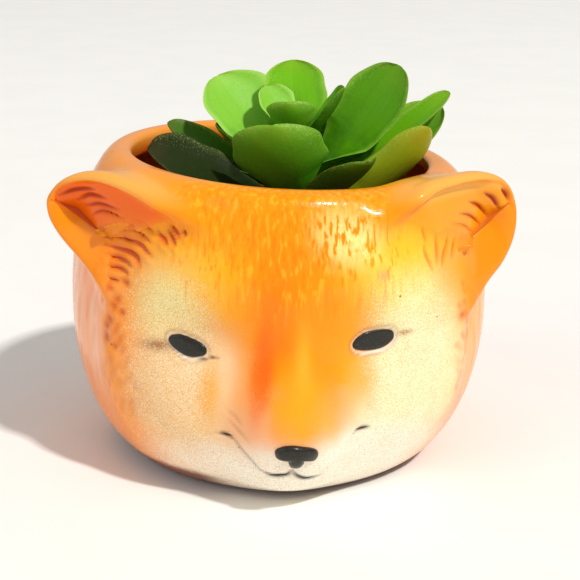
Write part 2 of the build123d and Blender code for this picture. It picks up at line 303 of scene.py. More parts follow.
class Paint:
    """A material in the making: its places in millimetres, its patterns, and the colours laid on so far."""

    def __init__(self, name: str, ground: Colour) -> None:
        """Starts from a ground colour."""
        self.material = bpy.data.materials.new(name)
        self.material.use_nodes = True
        self.tree = self.material.node_tree
        self.shader = self.tree.nodes["Principled BSDF"]
        scale = self.tree.nodes.new("ShaderNodeVectorMath")
        scale.operation = "SCALE"
        scale.inputs["Scale"].default_value = 1.0 / MM
        coordinates = self.tree.nodes.new("ShaderNodeTexCoord")
        self.tree.links.new(coordinates.outputs["Object"], scale.inputs[0])
        self.place = scale.outputs[0]
        apart = self.tree.nodes.new("ShaderNodeSeparateXYZ")
        self.tree.links.new(self.place, apart.inputs[0])
        self.x, self.y, self.z = (Field(self.tree, socket) for socket in apart.outputs)
        self.colour: bpy.types.NodeSocket | None = None
        self.ground = ground

    def stretched(self, stretch: tuple[float, float, float], shift: float) -> bpy.types.NodeSocket:
        """The place, stretched along each axis and shifted, for a pattern of its own."""
        mapping = self.tree.nodes.new("ShaderNodeMapping")
        self.tree.links.new(self.place, mapping.inputs["Vector"])
        mapping.inputs["Scale"].default_value = stretch
        mapping.inputs["Location"].default_value = (shift, shift * 0.7, -shift)
        return mapping.outputs["Vector"]

    def noise(self, grain: float, detail: float = 2.0, shift: float = 0.0,
              stretch: tuple[float, float, float] = (1.0, 1.0, 1.0)) -> Field:
        """Cloudy pattern with grains of about a size in millimetres, around one half."""
        node = self.tree.nodes.new("ShaderNodeTexNoise")
        node.inputs["Scale"].default_value = 1.0 / grain
        node.inputs["Detail"].default_value = detail
        self.tree.links.new(self.stretched(stretch, shift), node.inputs["Vector"])
        return Field(self.tree, node.outputs["Fac"])

    def dots(self, apart: float, radius: float, share: float, shift: float = 0.0) -> Field:
        """Scattered dots: one in a cell that is so wide, in only a share of the cells."""
        node = self.tree.nodes.new("ShaderNodeTexVoronoi")
        node.inputs["Scale"].default_value = 1.0 / apart
        self.tree.links.new(self.stretched((1.0, 1.0, 1.0), shift), node.inputs["Vector"])
        cell = self.tree.nodes.new("ShaderNodeSeparateColor")
        self.tree.links.new(node.outputs["Color"], cell.inputs[0])
        near = Field(self.tree, node.outputs["Distance"]).step(radius / apart, 0.4 * radius / apart)
        return near * Field(self.tree, cell.outputs[0]).below(share)

    def mark(self, label: str) -> Field:
        """A number kept on the piece's points."""
        node = self.tree.nodes.new("ShaderNodeAttribute")
        node.attribute_name = label
        return Field(self.tree, node.outputs["Fac"])

    def lay(self, colour: Colour, cover: Field) -> None:
        """Lays a colour over what is there, where the cover is one."""
        mix = self.tree.nodes.new("ShaderNodeMix")
        mix.data_type = "RGBA"
        mix.clamp_factor = True
        self.tree.links.new(cover.socket, mix.inputs[0])
        if self.colour is None:
            mix.inputs[6].default_value = linear(self.ground)
        else:
            self.tree.links.new(self.colour, mix.inputs[6])
        mix.inputs[7].default_value = linear(colour)
        self.colour = mix.outputs[2]

    def joined(self, under: bpy.types.NodeSocket, share: Field) -> None:
        """Mixes the colours laid so far over other ones, where the share is one."""
        mix = self.tree.nodes.new("ShaderNodeMix")
        mix.data_type = "RGBA"
        self.tree.links.new(share.socket, mix.inputs[0])
        self.tree.links.new(under, mix.inputs[6])
        self.tree.links.new(self.colour, mix.inputs[7])
        self.colour = mix.outputs[2]

    def raise_by(self, height: Field, depth: float) -> None:
        """Fine relief of so many millimetres."""
        bump = self.tree.nodes.new("ShaderNodeBump")
        bump.inputs["Strength"].default_value = 1.0
        bump.inputs["Distance"].default_value = depth * MM
        self.tree.links.new(height.socket, bump.inputs["Height"])
        self.tree.links.new(bump.outputs["Normal"], self.shader.inputs["Normal"])

    def roughen(self, roughness: Field) -> None:
        """Roughness that varies over the surface."""
        self.tree.links.new(roughness.socket, self.shader.inputs["Roughness"])

    def done(self, **sockets: float) -> bpy.types.Material:
        """Ends the material, with the shader's own values by name, spaces written as low lines."""
        if self.colour is not None:
            self.tree.links.new(self.colour, self.shader.inputs["Base Color"])
        for label, value in sockets.items():
            self.shader.inputs[label.replace("_", " ")].default_value = value
        return self.material


@dataclass(frozen=True)
class Barrel:
    """A squat barrel, round at both ends and flatter towards the face."""

    low_height: float
    low_radius: float
    belly_radius: float
    high_height: float
    high_radius: float
    low_roundness: float
    high_roundness: float

    def radius(self, turn: np.ndarray, z: np.ndarray | float) -> np.ndarray:
        """Radius at angles from the front and heights."""
        low = z < BELLY_HEIGHT
        end_height = np.where(low, self.low_height, self.high_height)
        end_radius = np.where(low, self.low_radius, self.high_radius)
        share = np.clip((z - BELLY_HEIGHT) / (end_height - BELLY_HEIGHT), 0.0, 1.0)
        roundness = np.where(low, self.low_roundness, self.high_roundness)
        level = end_radius + (self.belly_radius - end_radius) * np.sqrt(1.0 - share**roundness)
        depth = np.where(np.cos(turn) > 0, FRONT_DEPTH, BACK_DEPTH)
        depth = 1.0 - (1.0 - depth) * (1.0 - share**4)
        return level / np.hypot(np.sin(turn), np.cos(turn) / depth)


SKIN = Barrel(0.0, FOOT_RADIUS, BELLY_RADIUS, POT_HEIGHT, SHOULDER_RADIUS, LOW_ROUNDNESS, HIGH_ROUNDNESS)
HOLLOW = Barrel(
    FLOOR, FLOOR_RADIUS, HOLLOW_RADIUS, LIP_BOTTOM, MOUTH_RADIUS + LIP_UNDERCUT,
    HOLLOW_ROUNDNESS, HOLLOW_ROUNDNESS,
)


@dataclass(frozen=True)
class Swell:
    """One soft rise or hollow of the face: where it is, how far it stands out, and its half sizes."""

    across: float
    height: float
    rise: float
    half_width: float
    half_up: float
    half_down: float

    def at(self, across: np.ndarray, z: np.ndarray) -> np.ndarray:
        """Rise at places on the face."""
        half = np.where(z > self.height, self.half_up, self.half_down)
        reach = ((across - self.across) / self.half_width) ** 2 + ((z - self.height) / half) ** 2
        return self.rise * np.exp(-reach / 1.6)


def pair(across: float, *sizes: float) -> list[Swell]:
    """The same swell on both sides of the face."""
    return [Swell(side * across, *sizes) for side in (-1, 1)]


# Muzzle, bridge, cheeks, brows, hollows of the eyes, and ruff
FACE = [
    Swell(0.0, 18.0, 8.6, 10.5, 13.0, 16.0),
    Swell(0.0, 38.0, 3.6, 7.5, 17.0, 14.0),
    *pair(27.0, 21.0, 2.6, 13.0, 11.0, 10.0),
    *pair(19.0, 57.0, 1.8, 12.0, 7.0, 7.0),
    *pair(21.5, 42.0, -1.9, 8.0, 5.0, 5.5),
    *pair(46.0, 34.0, 1.7, 4.0, 17.0, 15.0),
]


def skin_radius(turn: np.ndarray, z: np.ndarray) -> np.ndarray:
    """Radius of the pot's outside, without its carving."""
    fade = np.clip(z / 6.0, 0.0, 1.0) * np.clip((POT_HEIGHT - z) / 9.0, 0.0, 1.0)
    return SKIN.radius(turn, z) + fade * sum(swell.at(turn * FACE_SPAN, z) for swell in FACE)


def around_axis(turn: np.ndarray, radius: np.ndarray | float, z: np.ndarray | float) -> np.ndarray:
    """Points at angles from the front, radii about the pot's axis, and heights."""
    return np.stack(np.broadcast_arrays(radius * np.sin(turn), AXIS_Y - radius * np.cos(turn), z), axis=-1)


def leaned(points: np.ndarray) -> np.ndarray:
    """Leans the pot's top over towards the fox's left: not at all up to the grit, most at the rim."""
    x, y, z = np.moveaxis(points, -1, 0)
    lean = RIM_TILT * np.clip((z - GRIT_TOP) / (POT_HEIGHT - GRIT_TOP), 0.0, None) ** 2
    return np.stack([x * np.cos(lean), y, z - x * np.sin(lean)], axis=-1)


@dataclass
class Carving:
    """The carved relief of the face, on a net of angles and heights."""

    turns: np.ndarray
    heights: np.ndarray
    cut: np.ndarray = field(init=False)
    ridge: np.ndarray = field(init=False)
    ink: np.ndarray = field(init=False)
    pale: np.ndarray = field(init=False)

    def __post_init__(self) -> None:
        """Starts with a smooth skin."""
        shape = (len(self.heights), len(self.turns))
        self.cut, self.ridge, self.ink, self.pale = (np.zeros(shape) for _ in range(4))

    @property
    def across(self) -> np.ndarray:
        """Places across the unrolled skin."""
        return self.turns * FACE_SPAN

    def stroke(self, line: np.ndarray, width: float, depth: float, ink: float = 0.0, pale: float = 0.0,
               tapered: bool = True) -> None:
        """Cuts a line, or raises it where its depth is below nought.

        Args:
            line: Its points, across and up.
            width: Half of its width.
            depth: Its depth.
            ink: How dark it is painted, up to one.
            pale: How far it is painted cream, up to one.
            tapered: Whether it fades at both ends.
        """
        low, high = line.min(0) - 3 * width, line.max(0) + 3 * width
        rows = slice(*np.searchsorted(self.heights, (low[1], high[1])))
        cols = slice(*np.searchsorted(self.across, (low[0], high[0])))
        a, z = np.meshgrid(self.across[cols], self.heights[rows])
        nearest, along = np.full(a.shape, 1e9), np.zeros(a.shape)
        for number, (start, end) in enumerate(zip(line, line[1:])):
            leg = end - start
            t = np.clip(((a - start[0]) * leg[0] + (z - start[1]) * leg[1]) / (leg @ leg), 0.0, 1.0)
            gap = np.hypot(a - start[0] - t * leg[0], z - start[1] - t * leg[1])
            along = np.where(gap < nearest, (number + t) / (len(line) - 1), along)
            nearest = np.minimum(gap, nearest)
        taper = np.sin(pi * np.clip(along, 0.01, 0.99)) ** 0.6 if tapered else np.ones(a.shape)
        mark = taper * np.exp(-((nearest / (width * (0.4 + 0.6 * taper))) ** 2))
        layer = self.cut if depth > 0 else self.ridge
        layer[rows, cols] = np.maximum(layer[rows, cols], abs(depth) * mark)
        self.ink[rows, cols] = np.maximum(self.ink[rows, cols], ink * np.sqrt(taper) * mark)
        self.pale[rows, cols] = np.maximum(self.pale[rows, cols], pale * mark)

    def pit(self, across: float, height: float, radius: float, depth: float) -> None:
        """Presses a round pit with a soft edge."""
        a, z = np.meshgrid(self.across, self.heights)
        reach = np.hypot(a - across, z - height) / radius
        self.cut = np.maximum(self.cut, depth * np.exp(-(reach**2)))

    def relief(self) -> np.ndarray:
        """How far the carved skin stands out."""
        return self.ridge - self.cut


@dataclass(frozen=True)
class FurPatch:
    """A patch of carved hair: where it lies, which way its hairs run, fan out and curl, and their sizes."""

    across: float
    height: float
    half_width: float
    half_height: float
    heading: float
    fan: float
    curl: float
    length: float
    width: float
    depth: float
    spacing: float

    def lines(self, chance: np.random.Generator) -> Iterator[np.ndarray]:
        """The hairs' lines, across and up. A heading of nought runs straight up."""
        row_step = self.length * 0.55
        rows = np.arange(-self.half_height, self.half_height + row_step, row_step)
        cols = np.arange(-self.half_width, self.half_width + self.spacing, self.spacing)
        for number, up in enumerate(rows):
            for right in cols + (number % 2) * self.spacing / 2:
                right, rise = right + chance.normal(0, self.spacing / 4), up + chance.normal(0, row_step / 3)
                if (right / self.half_width) ** 2 + (rise / self.half_height) ** 2 > 1.0:
                    continue
                heading = self.heading + self.fan * right + chance.normal(0, 4)
                length = self.length * chance.uniform(0.6, 1.2)
                share = np.linspace(-0.5, 0.5, 5)
                course = np.radians(heading + self.curl * share)
                steps = np.cumsum(np.column_stack([np.sin(course), np.cos(course)]) * length / 4, axis=0)
                yield np.array([self.across + right, self.height + rise]) + steps - steps.mean(0)


def fur_pair(across: float, height: float, half_width: float, half_height: float, heading: float, fan: float,
             curl: float, *sizes: float) -> list[FurPatch]:
    """The same patch of hair on both sides of the head."""
    return [
        FurPatch(side * across, height, half_width, half_height, -side * heading, fan, -side * curl, *sizes)
        for side in (-1, 1)
    ]


FUR = (
    FurPatch(0.0, 68.5, 27.0, 8.0, 0.0, 0.9, 6.0, 8.0, 0.34, 0.11, 1.3),
    FurPatch(0.0, 55.0, 17.0, 7.0, 0.0, 1.2, 6.0, 8.0, 0.34, 0.07, 1.8),
    FurPatch(-44.0, 30.0, 4.6, 12.0, 24.0, 0.0, 30.0, 5.5, 0.95, 0.32, 3.4),
    FurPatch(47.5, 38.0, 3.2, 14.0, -24.0, 0.0, -30.0, 4.5, 0.80, 0.32, 3.0),
    *fur_pair(33.0, 26.0, 8.0, 14.0, 38.0, 0.4, 10.0, 6.0, 0.38, 0.05, 3.2),
    *fur_pair(66.0, 40.0, 14.0, 24.0, 12.0, 0.0, 14.0, 12.0, 1.30, 0.14, 6.5),
    *fur_pair(112.0, 42.0, 34.0, 28.0, 6.0, 0.1, 16.0, 13.0, 1.40, 0.16, 7.5),
)
RIGHT_EYE_EDGE = (
    (-30.3, 42.4), (-29.7, 43.2), (-29.0, 43.5), (-27.3, 43.7), (-25.3, 43.2), (-23.2, 42.5),
    (-21.5, 41.6), (-20.8, 40.6), (-20.9, 39.6), (-22.0, 39.0), (-23.9, 38.6), (-25.6, 38.7),
    (-27.2, 39.3), (-28.8, 40.2), (-30.0, 41.3),
)
LEFT_EYE_EDGE = (
    (15.3, 42.1), (15.7, 43.0), (16.9, 43.9), (18.9, 44.7), (21.3, 44.9), (23.8, 44.8), (25.9, 44.3),
    (26.6, 43.4), (26.5, 42.1), (25.2, 41.0), (23.3, 40.3), (20.7, 40.1), (18.0, 40.4), (15.9, 41.1),
)
NOSE_EDGE = (
    (-3.5, 20.0), (-2.9, 20.8), (-1.4, 21.6), (0.5, 21.7), (2.4, 21.2), (4.2, 20.5), (5.4, 19.5),
    (5.7, 18.1), (5.1, 16.9), (3.8, 17.0), (2.8, 17.4), (2.5, 16.3), (1.7, 15.2), (0.5, 15.1),
    (-0.4, 15.8), (-0.9, 17.4), (-1.9, 17.6), (-3.1, 18.0), (-3.5, 19.0),
)
MOUTH_LEFT = (
    (0.5, 15.1), (-0.1, 13.9), (-0.8, 12.7), (-2.4, 12.2), (-4.1, 11.9), (-5.5, 12.3), (-7.0, 13.1),
    (-8.7, 15.3), (-10.4, 17.2), (-11.9, 19.1), (-13.2, 20.6), (-15.4, 21.2), (-16.7, 21.2),
    (-20.2, 20.0),
)
MOUTH_RIGHT = ((0.5, 15.1), (0.4, 13.9), (1.2, 12.4), (3.0, 10.9), (5.1, 10.5), (6.5, 10.6), (7.7, 10.8))
MOUTH_CORNERS = (
    ((-12.6, 20.2), (-13.8, 20.9), (-15.4, 21.2), (-17.2, 21.1)),
    ((14.6, 21.0), (16.4, 21.7), (18.2, 21.6), (20.0, 21.2)),
)
MUZZLE_CREASES = (((-14.9, 27.6), (-12.6, 26.2), (-10.6, 24.1)), ((-14.9, 25.6), (-11.6, 22.8), (-8.5, 19.8)))
EYE_RIMS = (
    (
        (-30.6, 42.4), (-29.7, 40.9), (-27.9, 39.4), (-25.5, 38.3), (-23.6, 38.1), (-20.4, 39.0),
        (-19.5, 39.8),
    ),
    (
        (14.6, 41.8), (15.6, 40.5), (18.2, 39.6), (21.8, 39.5), (25.4, 40.1), (27.5, 41.6),
        (27.7, 43.5), (26.3, 44.9),
    ),
)
EYE_RIDGE = ((-31.4, 41.0), (-30.2, 39.3), (-27.5, 37.4), (-24.9, 37.0), (-22.1, 37.5))
TEAR_LINE = ((-23.6, 38.2), (-21.2, 38.5), (-19.4, 38.9), (-18.0, 39.2), (-17.0, 38.7))
LOCKS = (
    ((-46.0, 65.0), (-41.1, 66.8), (-37.2, 65.2), (-36.0, 64.2)),
    ((-42.4, 68.2), (-38.9, 68.6), (-36.4, 67.6), (-35.0, 66.2)),
    ((-50.8, 62.6), (-45.5, 64.1), (-39.5, 63.9), (-37.2, 62.2), (-34.9, 61.2)),
    ((-50.8, 61.3), (-45.7, 61.7), (-40.9, 61.2), (-39.1, 59.4), (-38.2, 57.4)),
    ((-51.4, 57.8), (-46.6, 59.4), (-42.5, 59.1), (-41.2, 57.8)),
    ((-51.7, 55.4), (-46.7, 57.0), (-43.1, 57.0), (-41.8, 55.6)),
    ((-49.6, 53.0), (-46.6, 54.2), (-44.0, 53.8)),
    ((-34.3, 67.9), (-33.5, 66.5), (-32.0, 65.4), (-31.1, 64.2)),
    ((-31.9, 68.3), (-30.3, 66.6), (-28.6, 64.7)),
    ((-31.3, 69.6), (-29.3, 68.0), (-27.6, 66.0)),
    ((-27.3, 69.1), (-26.1, 66.7)),
    ((34.4, 68.7), (35.3, 66.5), (35.9, 64.3)),
    ((35.1, 64.4), (35.6, 61.6), (36.7, 59.0), (37.6, 56.8)),
    ((38.8, 66.4), (39.3, 63.8), (39.4, 61.0), (39.0, 58.4)),
    ((43.4, 65.4), (42.8, 62.6), (41.7, 60.3), (40.7, 57.4)),
    ((46.5, 64.0), (45.2, 61.5), (44.1, 58.7)),
    ((50.8, 61.2), (51.2, 58.1), (50.3, 55.2)),
)
PITS = (
    (-46.3, 52.2), (-48.8, 51.9), (-45.4, 49.5), (-45.6, 47.7), (-43.4, 46.5), (-47.4, 44.1),
    (-41.5, 54.0), (-49.3, 48.4), (-46.7, 42.5), (-48.2, 39.6), (-45.2, 37.6), (46.8, 50.6),
    (48.9, 47.6), (46.4, 44.2), (49.3, 41.6),
)


@dataclass(frozen=True)
class Cut:
    """A line of the face: its points, and its half width, depth, dark paint and pale paint."""

    points: Line
    width: float
    depth: float
    ink: float = 0.0
    pale: float = 0.0
    count: int = 24


FACE_CUTS = (
    Cut(MOUTH_LEFT, 0.36, 0.30, 0.42, count=30),
    Cut(MOUTH_LEFT[:7], 0.55, 0.55, 1.0, count=14),
    Cut(MOUTH_RIGHT, 0.52, 0.55, 1.0, count=16),
    *(Cut(corner, 0.50, 0.50, 1.0, count=8) for corner in MOUTH_CORNERS),
    *(Cut(crease, 0.40, 0.22, 0.16, count=8) for crease in MUZZLE_CREASES),
    *(Cut(rim, 0.34, -0.25, pale=0.9) for rim in EYE_RIMS),
    Cut(EYE_RIDGE, 0.75, -0.35, count=16),
    Cut(TEAR_LINE, 0.26, 0.20, 0.8, count=12),
)
EYE_EDGES = (LEFT_EYE_EDGE, RIGHT_EYE_EDGE)
LID_REACH = (1.18, 1.42)
PALE_RIM_REACH = (1.08, 1.18)
LOCK_RIDGE_SHIFT = (0.5, -1.6)
RIGHT_SIDE_BOLDNESS = 1.0
LEFT_SIDE_BOLDNESS = 0.55


@dataclass
class HeadShell:
    """The pot itself: one closed skin with its face, its mouth, its hollow and its foot ring."""

    front_step: float = radians(0.5)
    flank_step: float = radians(0.8)
    back_step: float = radians(1.9)
    front_reach: float = radians(78.0)
    flank_reach: float = radians(108.0)
    level_step: float = 0.60
    lip_round: float = 1.5
    foot_round: float = 1.0
    lock_depth: float = 1.0
    lock_ridge: float = 0.6
    lock_ridge_width: float = 1.0
    pit_depth: float = 0.6
    waves: int = 9
    wave_height: float = 0.05
    behind: float = 1.5492
    back_sink: float = 0.25
    seed: int = 7

    def turns(self) -> np.ndarray:
        """Angles of the columns: close together over the face, wider apart behind."""
        front = np.linspace(0.0, self.front_reach, round(self.front_reach / self.front_step) + 1)
        flank_count = round((self.flank_reach - self.front_reach) / self.flank_step)
        flank = np.linspace(self.front_reach, self.flank_reach, flank_count + 1)[1:]
        back_count = round((pi - self.flank_reach) / self.back_step)
        back = np.linspace(self.flank_reach, pi, back_count + 1)[1:]
        half = np.concatenate([front, flank, back])
        return np.concatenate([-half[-2:0:-1], half])

    def levels(self) -> np.ndarray:
        """Heights of the rows, evenly spaced along the wall's own curve."""
        z = BELLY_HEIGHT + np.sin(np.linspace(-pi / 2, pi / 2, 4000)) * BELLY_HEIGHT
        stretch = np.where(z > BELLY_HEIGHT, POT_HEIGHT / BELLY_HEIGHT - 1.0, 1.0)
        z = BELLY_HEIGHT + (z - BELLY_HEIGHT) * stretch
        wall = np.column_stack([SKIN.radius(np.full(z.shape, 0.9), z), z])
        steps = np.concatenate([[0.0], np.cumsum(np.linalg.norm(np.diff(wall, axis=0), axis=1))])
        return np.interp(np.linspace(0.0, steps[-1], round(steps[-1] / self.level_step)), steps, z)

    def carved(self, turns: np.ndarray, heights: np.ndarray) -> Carving:
        """Carves hair, locks, pits, mouth, creases and the eyes' lids."""
        chance = np.random.default_rng(self.seed)
        carving = Carving(turns, heights)
        for patch in FUR:
            for line in patch.lines(chance):
                carving.stroke(line, patch.width, patch.depth)
        for lock in LOCKS:
            line = smooth_line(lock, 9)
            bold = RIGHT_SIDE_BOLDNESS if lock[0][0] < 0 else LEFT_SIDE_BOLDNESS
            carving.stroke(line, 0.30 + 0.48 * bold, self.lock_depth * bold)
            carving.stroke(line + LOCK_RIDGE_SHIFT, self.lock_ridge_width, -self.lock_ridge * bold)
        for across, height in PITS:
            carving.pit(across + chance.normal(0, 0.4), height, chance.uniform(0.8, 1.4), self.pit_depth)
        for cut in FACE_CUTS:
            carving.stroke(smooth_line(cut.points, cut.count), cut.width, cut.depth, cut.ink, cut.pale)
        for edge in EYE_EDGES:
            line = smooth_line(edge + edge[:1], 40)
            middle = line.mean(0)
            carving.stroke(line, 0.55, 0.30, tapered=False)
            carving.stroke(middle + (line - middle) * LID_REACH, 0.40, 0.12, 0.22, tapered=False)
            carving.stroke(middle + (line - middle) * PALE_RIM_REACH, 0.30, -0.12, pale=0.35, tapered=False)
        return carving

    def unevenness(self, turn: np.ndarray, z: np.ndarray) -> np.ndarray:
        """The slight waves of a thing made by hand."""
        chance = np.random.default_rng(self.seed)
        waves = 0.0
        for _ in range(self.waves):
            rounds, climb, phase = chance.integers(2, 11), chance.uniform(-0.16, 0.16), chance.uniform(0, tau)
            waves = waves + np.sin(rounds * turn + climb * z + phase)
        return self.wave_height * waves

    def underside(self) -> list[tuple[float, float]]:
        """Radii and heights of the rings of the foot, from the middle outwards."""
        recess = FOOT_RADIUS - FOOT_RING_WIDTH
        hollow = [(radius, FOOT_RING_DEPTH) for radius in (8.0, 20.0, recess - 1.2)]
        edge = [(recess - 0.3, 1.1), (recess, 0.5), (recess + 0.5, 0.05)]
        return hollow + edge + [(recess + 3.0, 0.0), (FOOT_RADIUS - self.foot_round, 0.0)]

    def lip(self) -> list[tuple[float, float]]:
        """Radii and heights of the rings of the lip, from the shoulder into the mouth."""
        rings = [(SHOULDER_RADIUS - 0.35, POT_HEIGHT), (MOUTH_RADIUS + self.lip_round, POT_HEIGHT)]
        for bend in np.linspace(0.2, 1.0, 5) * pi / 2:
            inwards, down = self.lip_round * (1 - sin(bend)), self.lip_round * (1 - cos(bend))
            rings.append((MOUTH_RADIUS + inwards, POT_HEIGHT - down))
        return rings

    def inside(self, turns: np.ndarray) -> list[np.ndarray]:
        """The rings of the hollow, from the lip's lower edge to the middle of the floor."""
        undercut = [(MOUTH_RADIUS + 0.1, LIP_BOTTOM + 0.8), (MOUTH_RADIUS + 0.6, LIP_BOTTOM - 0.4)]
        corner = [16.0, 13.0, 10.5, 8.5, 7.2, 6.4, 6.02]
        wall = np.concatenate([np.linspace(LIP_BOTTOM - 1.5, 20.0, 22), corner])
        rings = [around_axis(turns, radius, z) for radius, z in undercut]
        rings += [around_axis(turns, HOLLOW.radius(turns, z), z) for z in wall]
        return rings + [around_axis(turns, radius, FLOOR) for radius in (31.0, 20.0, 8.0)]

    def rings(self) -> tuple[np.ndarray, dict[str, np.ndarray]]:
        """All rings from the middle of the underside to the middle of the floor.

        Returns:
            The rings, and the numbers for the finish: carved depth, dark paint, pale paint and the inside.
        """
        turns, heights = self.turns(), self.levels()
        carving = self.carved(turns, heights)
        turn, z = np.meshgrid(turns, heights)
        fade = np.clip(z / 5.0, 0.0, 1.0) * np.clip((POT_HEIGHT - z) / 5.0, 0.0, 1.0)
        behind = np.abs(turn) > self.behind
        relief = carving.relief() + self.unevenness(turn, z) - self.back_sink * behind
        outside = around_axis(turn, skin_radius(turn, z) + fade * relief, z)
        under = [around_axis(turns, radius, height) for radius, height in self.underside()]
        lip = [around_axis(turns, radius, height) for radius, height in self.lip()]
        inside = self.inside(turns)
        rings = np.array(under + list(outside) + lip + inside)
        marks = {"ear": np.zeros(rings.shape[0] * rings.shape[1] + 2)}
        for label, layer in (("carved", carving.cut), ("ink", carving.ink), ("pale", carving.pale)):
            full = np.zeros(rings.shape[:2])
            full[len(under):len(under) + len(heights)] = layer
            marks[label] = np.pad(full.ravel(), 1)
        full = np.zeros(rings.shape[:2])
        full[-len(inside):] = 1.0
        marks["inside"] = np.pad(full.ravel(), 1, mode="edge")
        return leaned(rings), marks

    def build(self, finish: bpy.types.Material) -> bpy.types.Object:
        """Makes the pot."""
        rings, marks = self.rings()
        points, faces = closed_skin(rings)
        pot = new_piece("fox_pot", points, faces, marks)
        settle(pot, Body.PLANTER, Slot.FOX_GLAZE, finish, "pot_shell")
        return pot


@dataclass(frozen=True)
class Fillet:
    """The soft fillet in which an ear grows out of the head."""

    width: float = 5.5
    rounds: int = 6
    buried: float = 1.5
    sunk: float = 1.2
    sinks_over: tuple[float, float] = (0.2, 3.2)
    furthest: float = 3.4
    search: float = 2.5
    damping: float = 0.85
    colour_reach: float = 2.2

    def shift(self, start: np.ndarray, way: np.ndarray, other: BVHTree) -> tuple[float, float] | None:
        """How far a point moves out to the fillet.

        Args:
            start: The point, in millimetres.
            way: The direction in which it moves.
            other: The other piece's surface.

        Returns:
            The move and the distance from the other surface, or nothing where the point stays.
        """
        moved, gap = 0.0, 0.0
        for _ in range(self.rounds):
            place = Vector((start + moved * way) * MM)
            spot, normal, _, _ = other.find_nearest(place, self.search * self.width * MM)
            if spot is None:
                return None
            gap = (place - spot).length / MM * (1.0 if (place - spot).dot(normal) > 0 else -1.0)
            if gap < -self.buried and moved == 0.0:
                break
            joint = min(moved, gap) - max(self.width - abs(moved - gap), 0.0) ** 2 / (4.0 * self.width)
            goal = -self.sunk * float(smoothly(np.float64(moved - gap), *self.sinks_over))
            moved = min(moved + self.damping * (goal - joint), self.furthest)
        return (moved, gap) if moved > -self.buried else None

    def draw(self, piece: bpy.types.Object, other: BVHTree, box: np.ndarray, is_ear: bool) -> np.ndarray:
        """Moves a piece's points near the other piece out to their common fillet.

        Args:
            piece: The piece.
            other: The other piece's surface before it was moved.
            box: The other piece's lowest and highest corner, in millimetres.
            is_ear: Whether the piece is the ear and the other one the head.

        Returns:
            The piece's moved points; its mark "ear" tells how far each belongs to the ear.
        """
        count = len(piece.data.vertices)
        points, normals, ear = np.zeros(count * 3), np.zeros(count * 3), np.zeros(count)
        piece.data.vertices.foreach_get("co", points)
        piece.data.vertices.foreach_get("normal", normals)
        points, normals = points.reshape(-1, 3) / MM, normals.reshape(-1, 3)
        piece.data.attributes["ear"].data.foreach_get("value", ear)
        if is_ear:
            folded = np.zeros(count)
            piece.data.attributes["folded"].data.foreach_get("value", folded)
            share = (folded**4)[:, None]
            facing = np.array([np.sign(points[:, 0].mean()) * sin(EAR_FACING), -cos(EAR_FACING), 0.0])
            normals = normals * (1.0 - share) + facing * share
            normals /= np.linalg.norm(normals, axis=1)[:, None]
        off_axis = np.hypot(points[:, 0], points[:, 1] - AXIS_Y)
        inner = (not is_ear) & (points[:, 2] > FLOOR) & (off_axis < MOUTH_RADIUS + 1.2)
        near = np.all((points > box[0] - self.width) & (points < box[1] + self.width), axis=1) & ~inner
        for number in np.flatnonzero(near):
            start, way = points[number].copy(), normals[number]
            found = self.shift(start, way, other)
            if found is None:
                continue
            moved, gap = found
            points[number] = start + moved * way
            own_side = gap - moved if is_ear else moved - gap
            ear[number] = float(smoothly(np.float64(own_side), -self.colour_reach, self.colour_reach))
        piece.data.attributes["ear"].data.foreach_set("value", ear.astype(np.float32))
        return points

    def join(self, head: bpy.types.Object, ear: bpy.types.Object) -> None:
        """Joins an ear to the head."""
        pieces = (head, ear)
        trees = [BVHTree.FromObject(piece, bpy.context.evaluated_depsgraph_get()) for piece in pieces]
        boxes = [np.array([v.co for v in piece.data.vertices]) / MM for piece in pieces]
        boxes = [np.array([corners.min(0), corners.max(0)]) for corners in boxes]
        moved = [self.draw(head, trees[1], boxes[1], False), self.draw(ear, trees[0], boxes[0], True)]
        for piece, points in zip(pieces, moved):
            piece.data.vertices.foreach_set("co", (points * MM).ravel())
            piece.data.update()


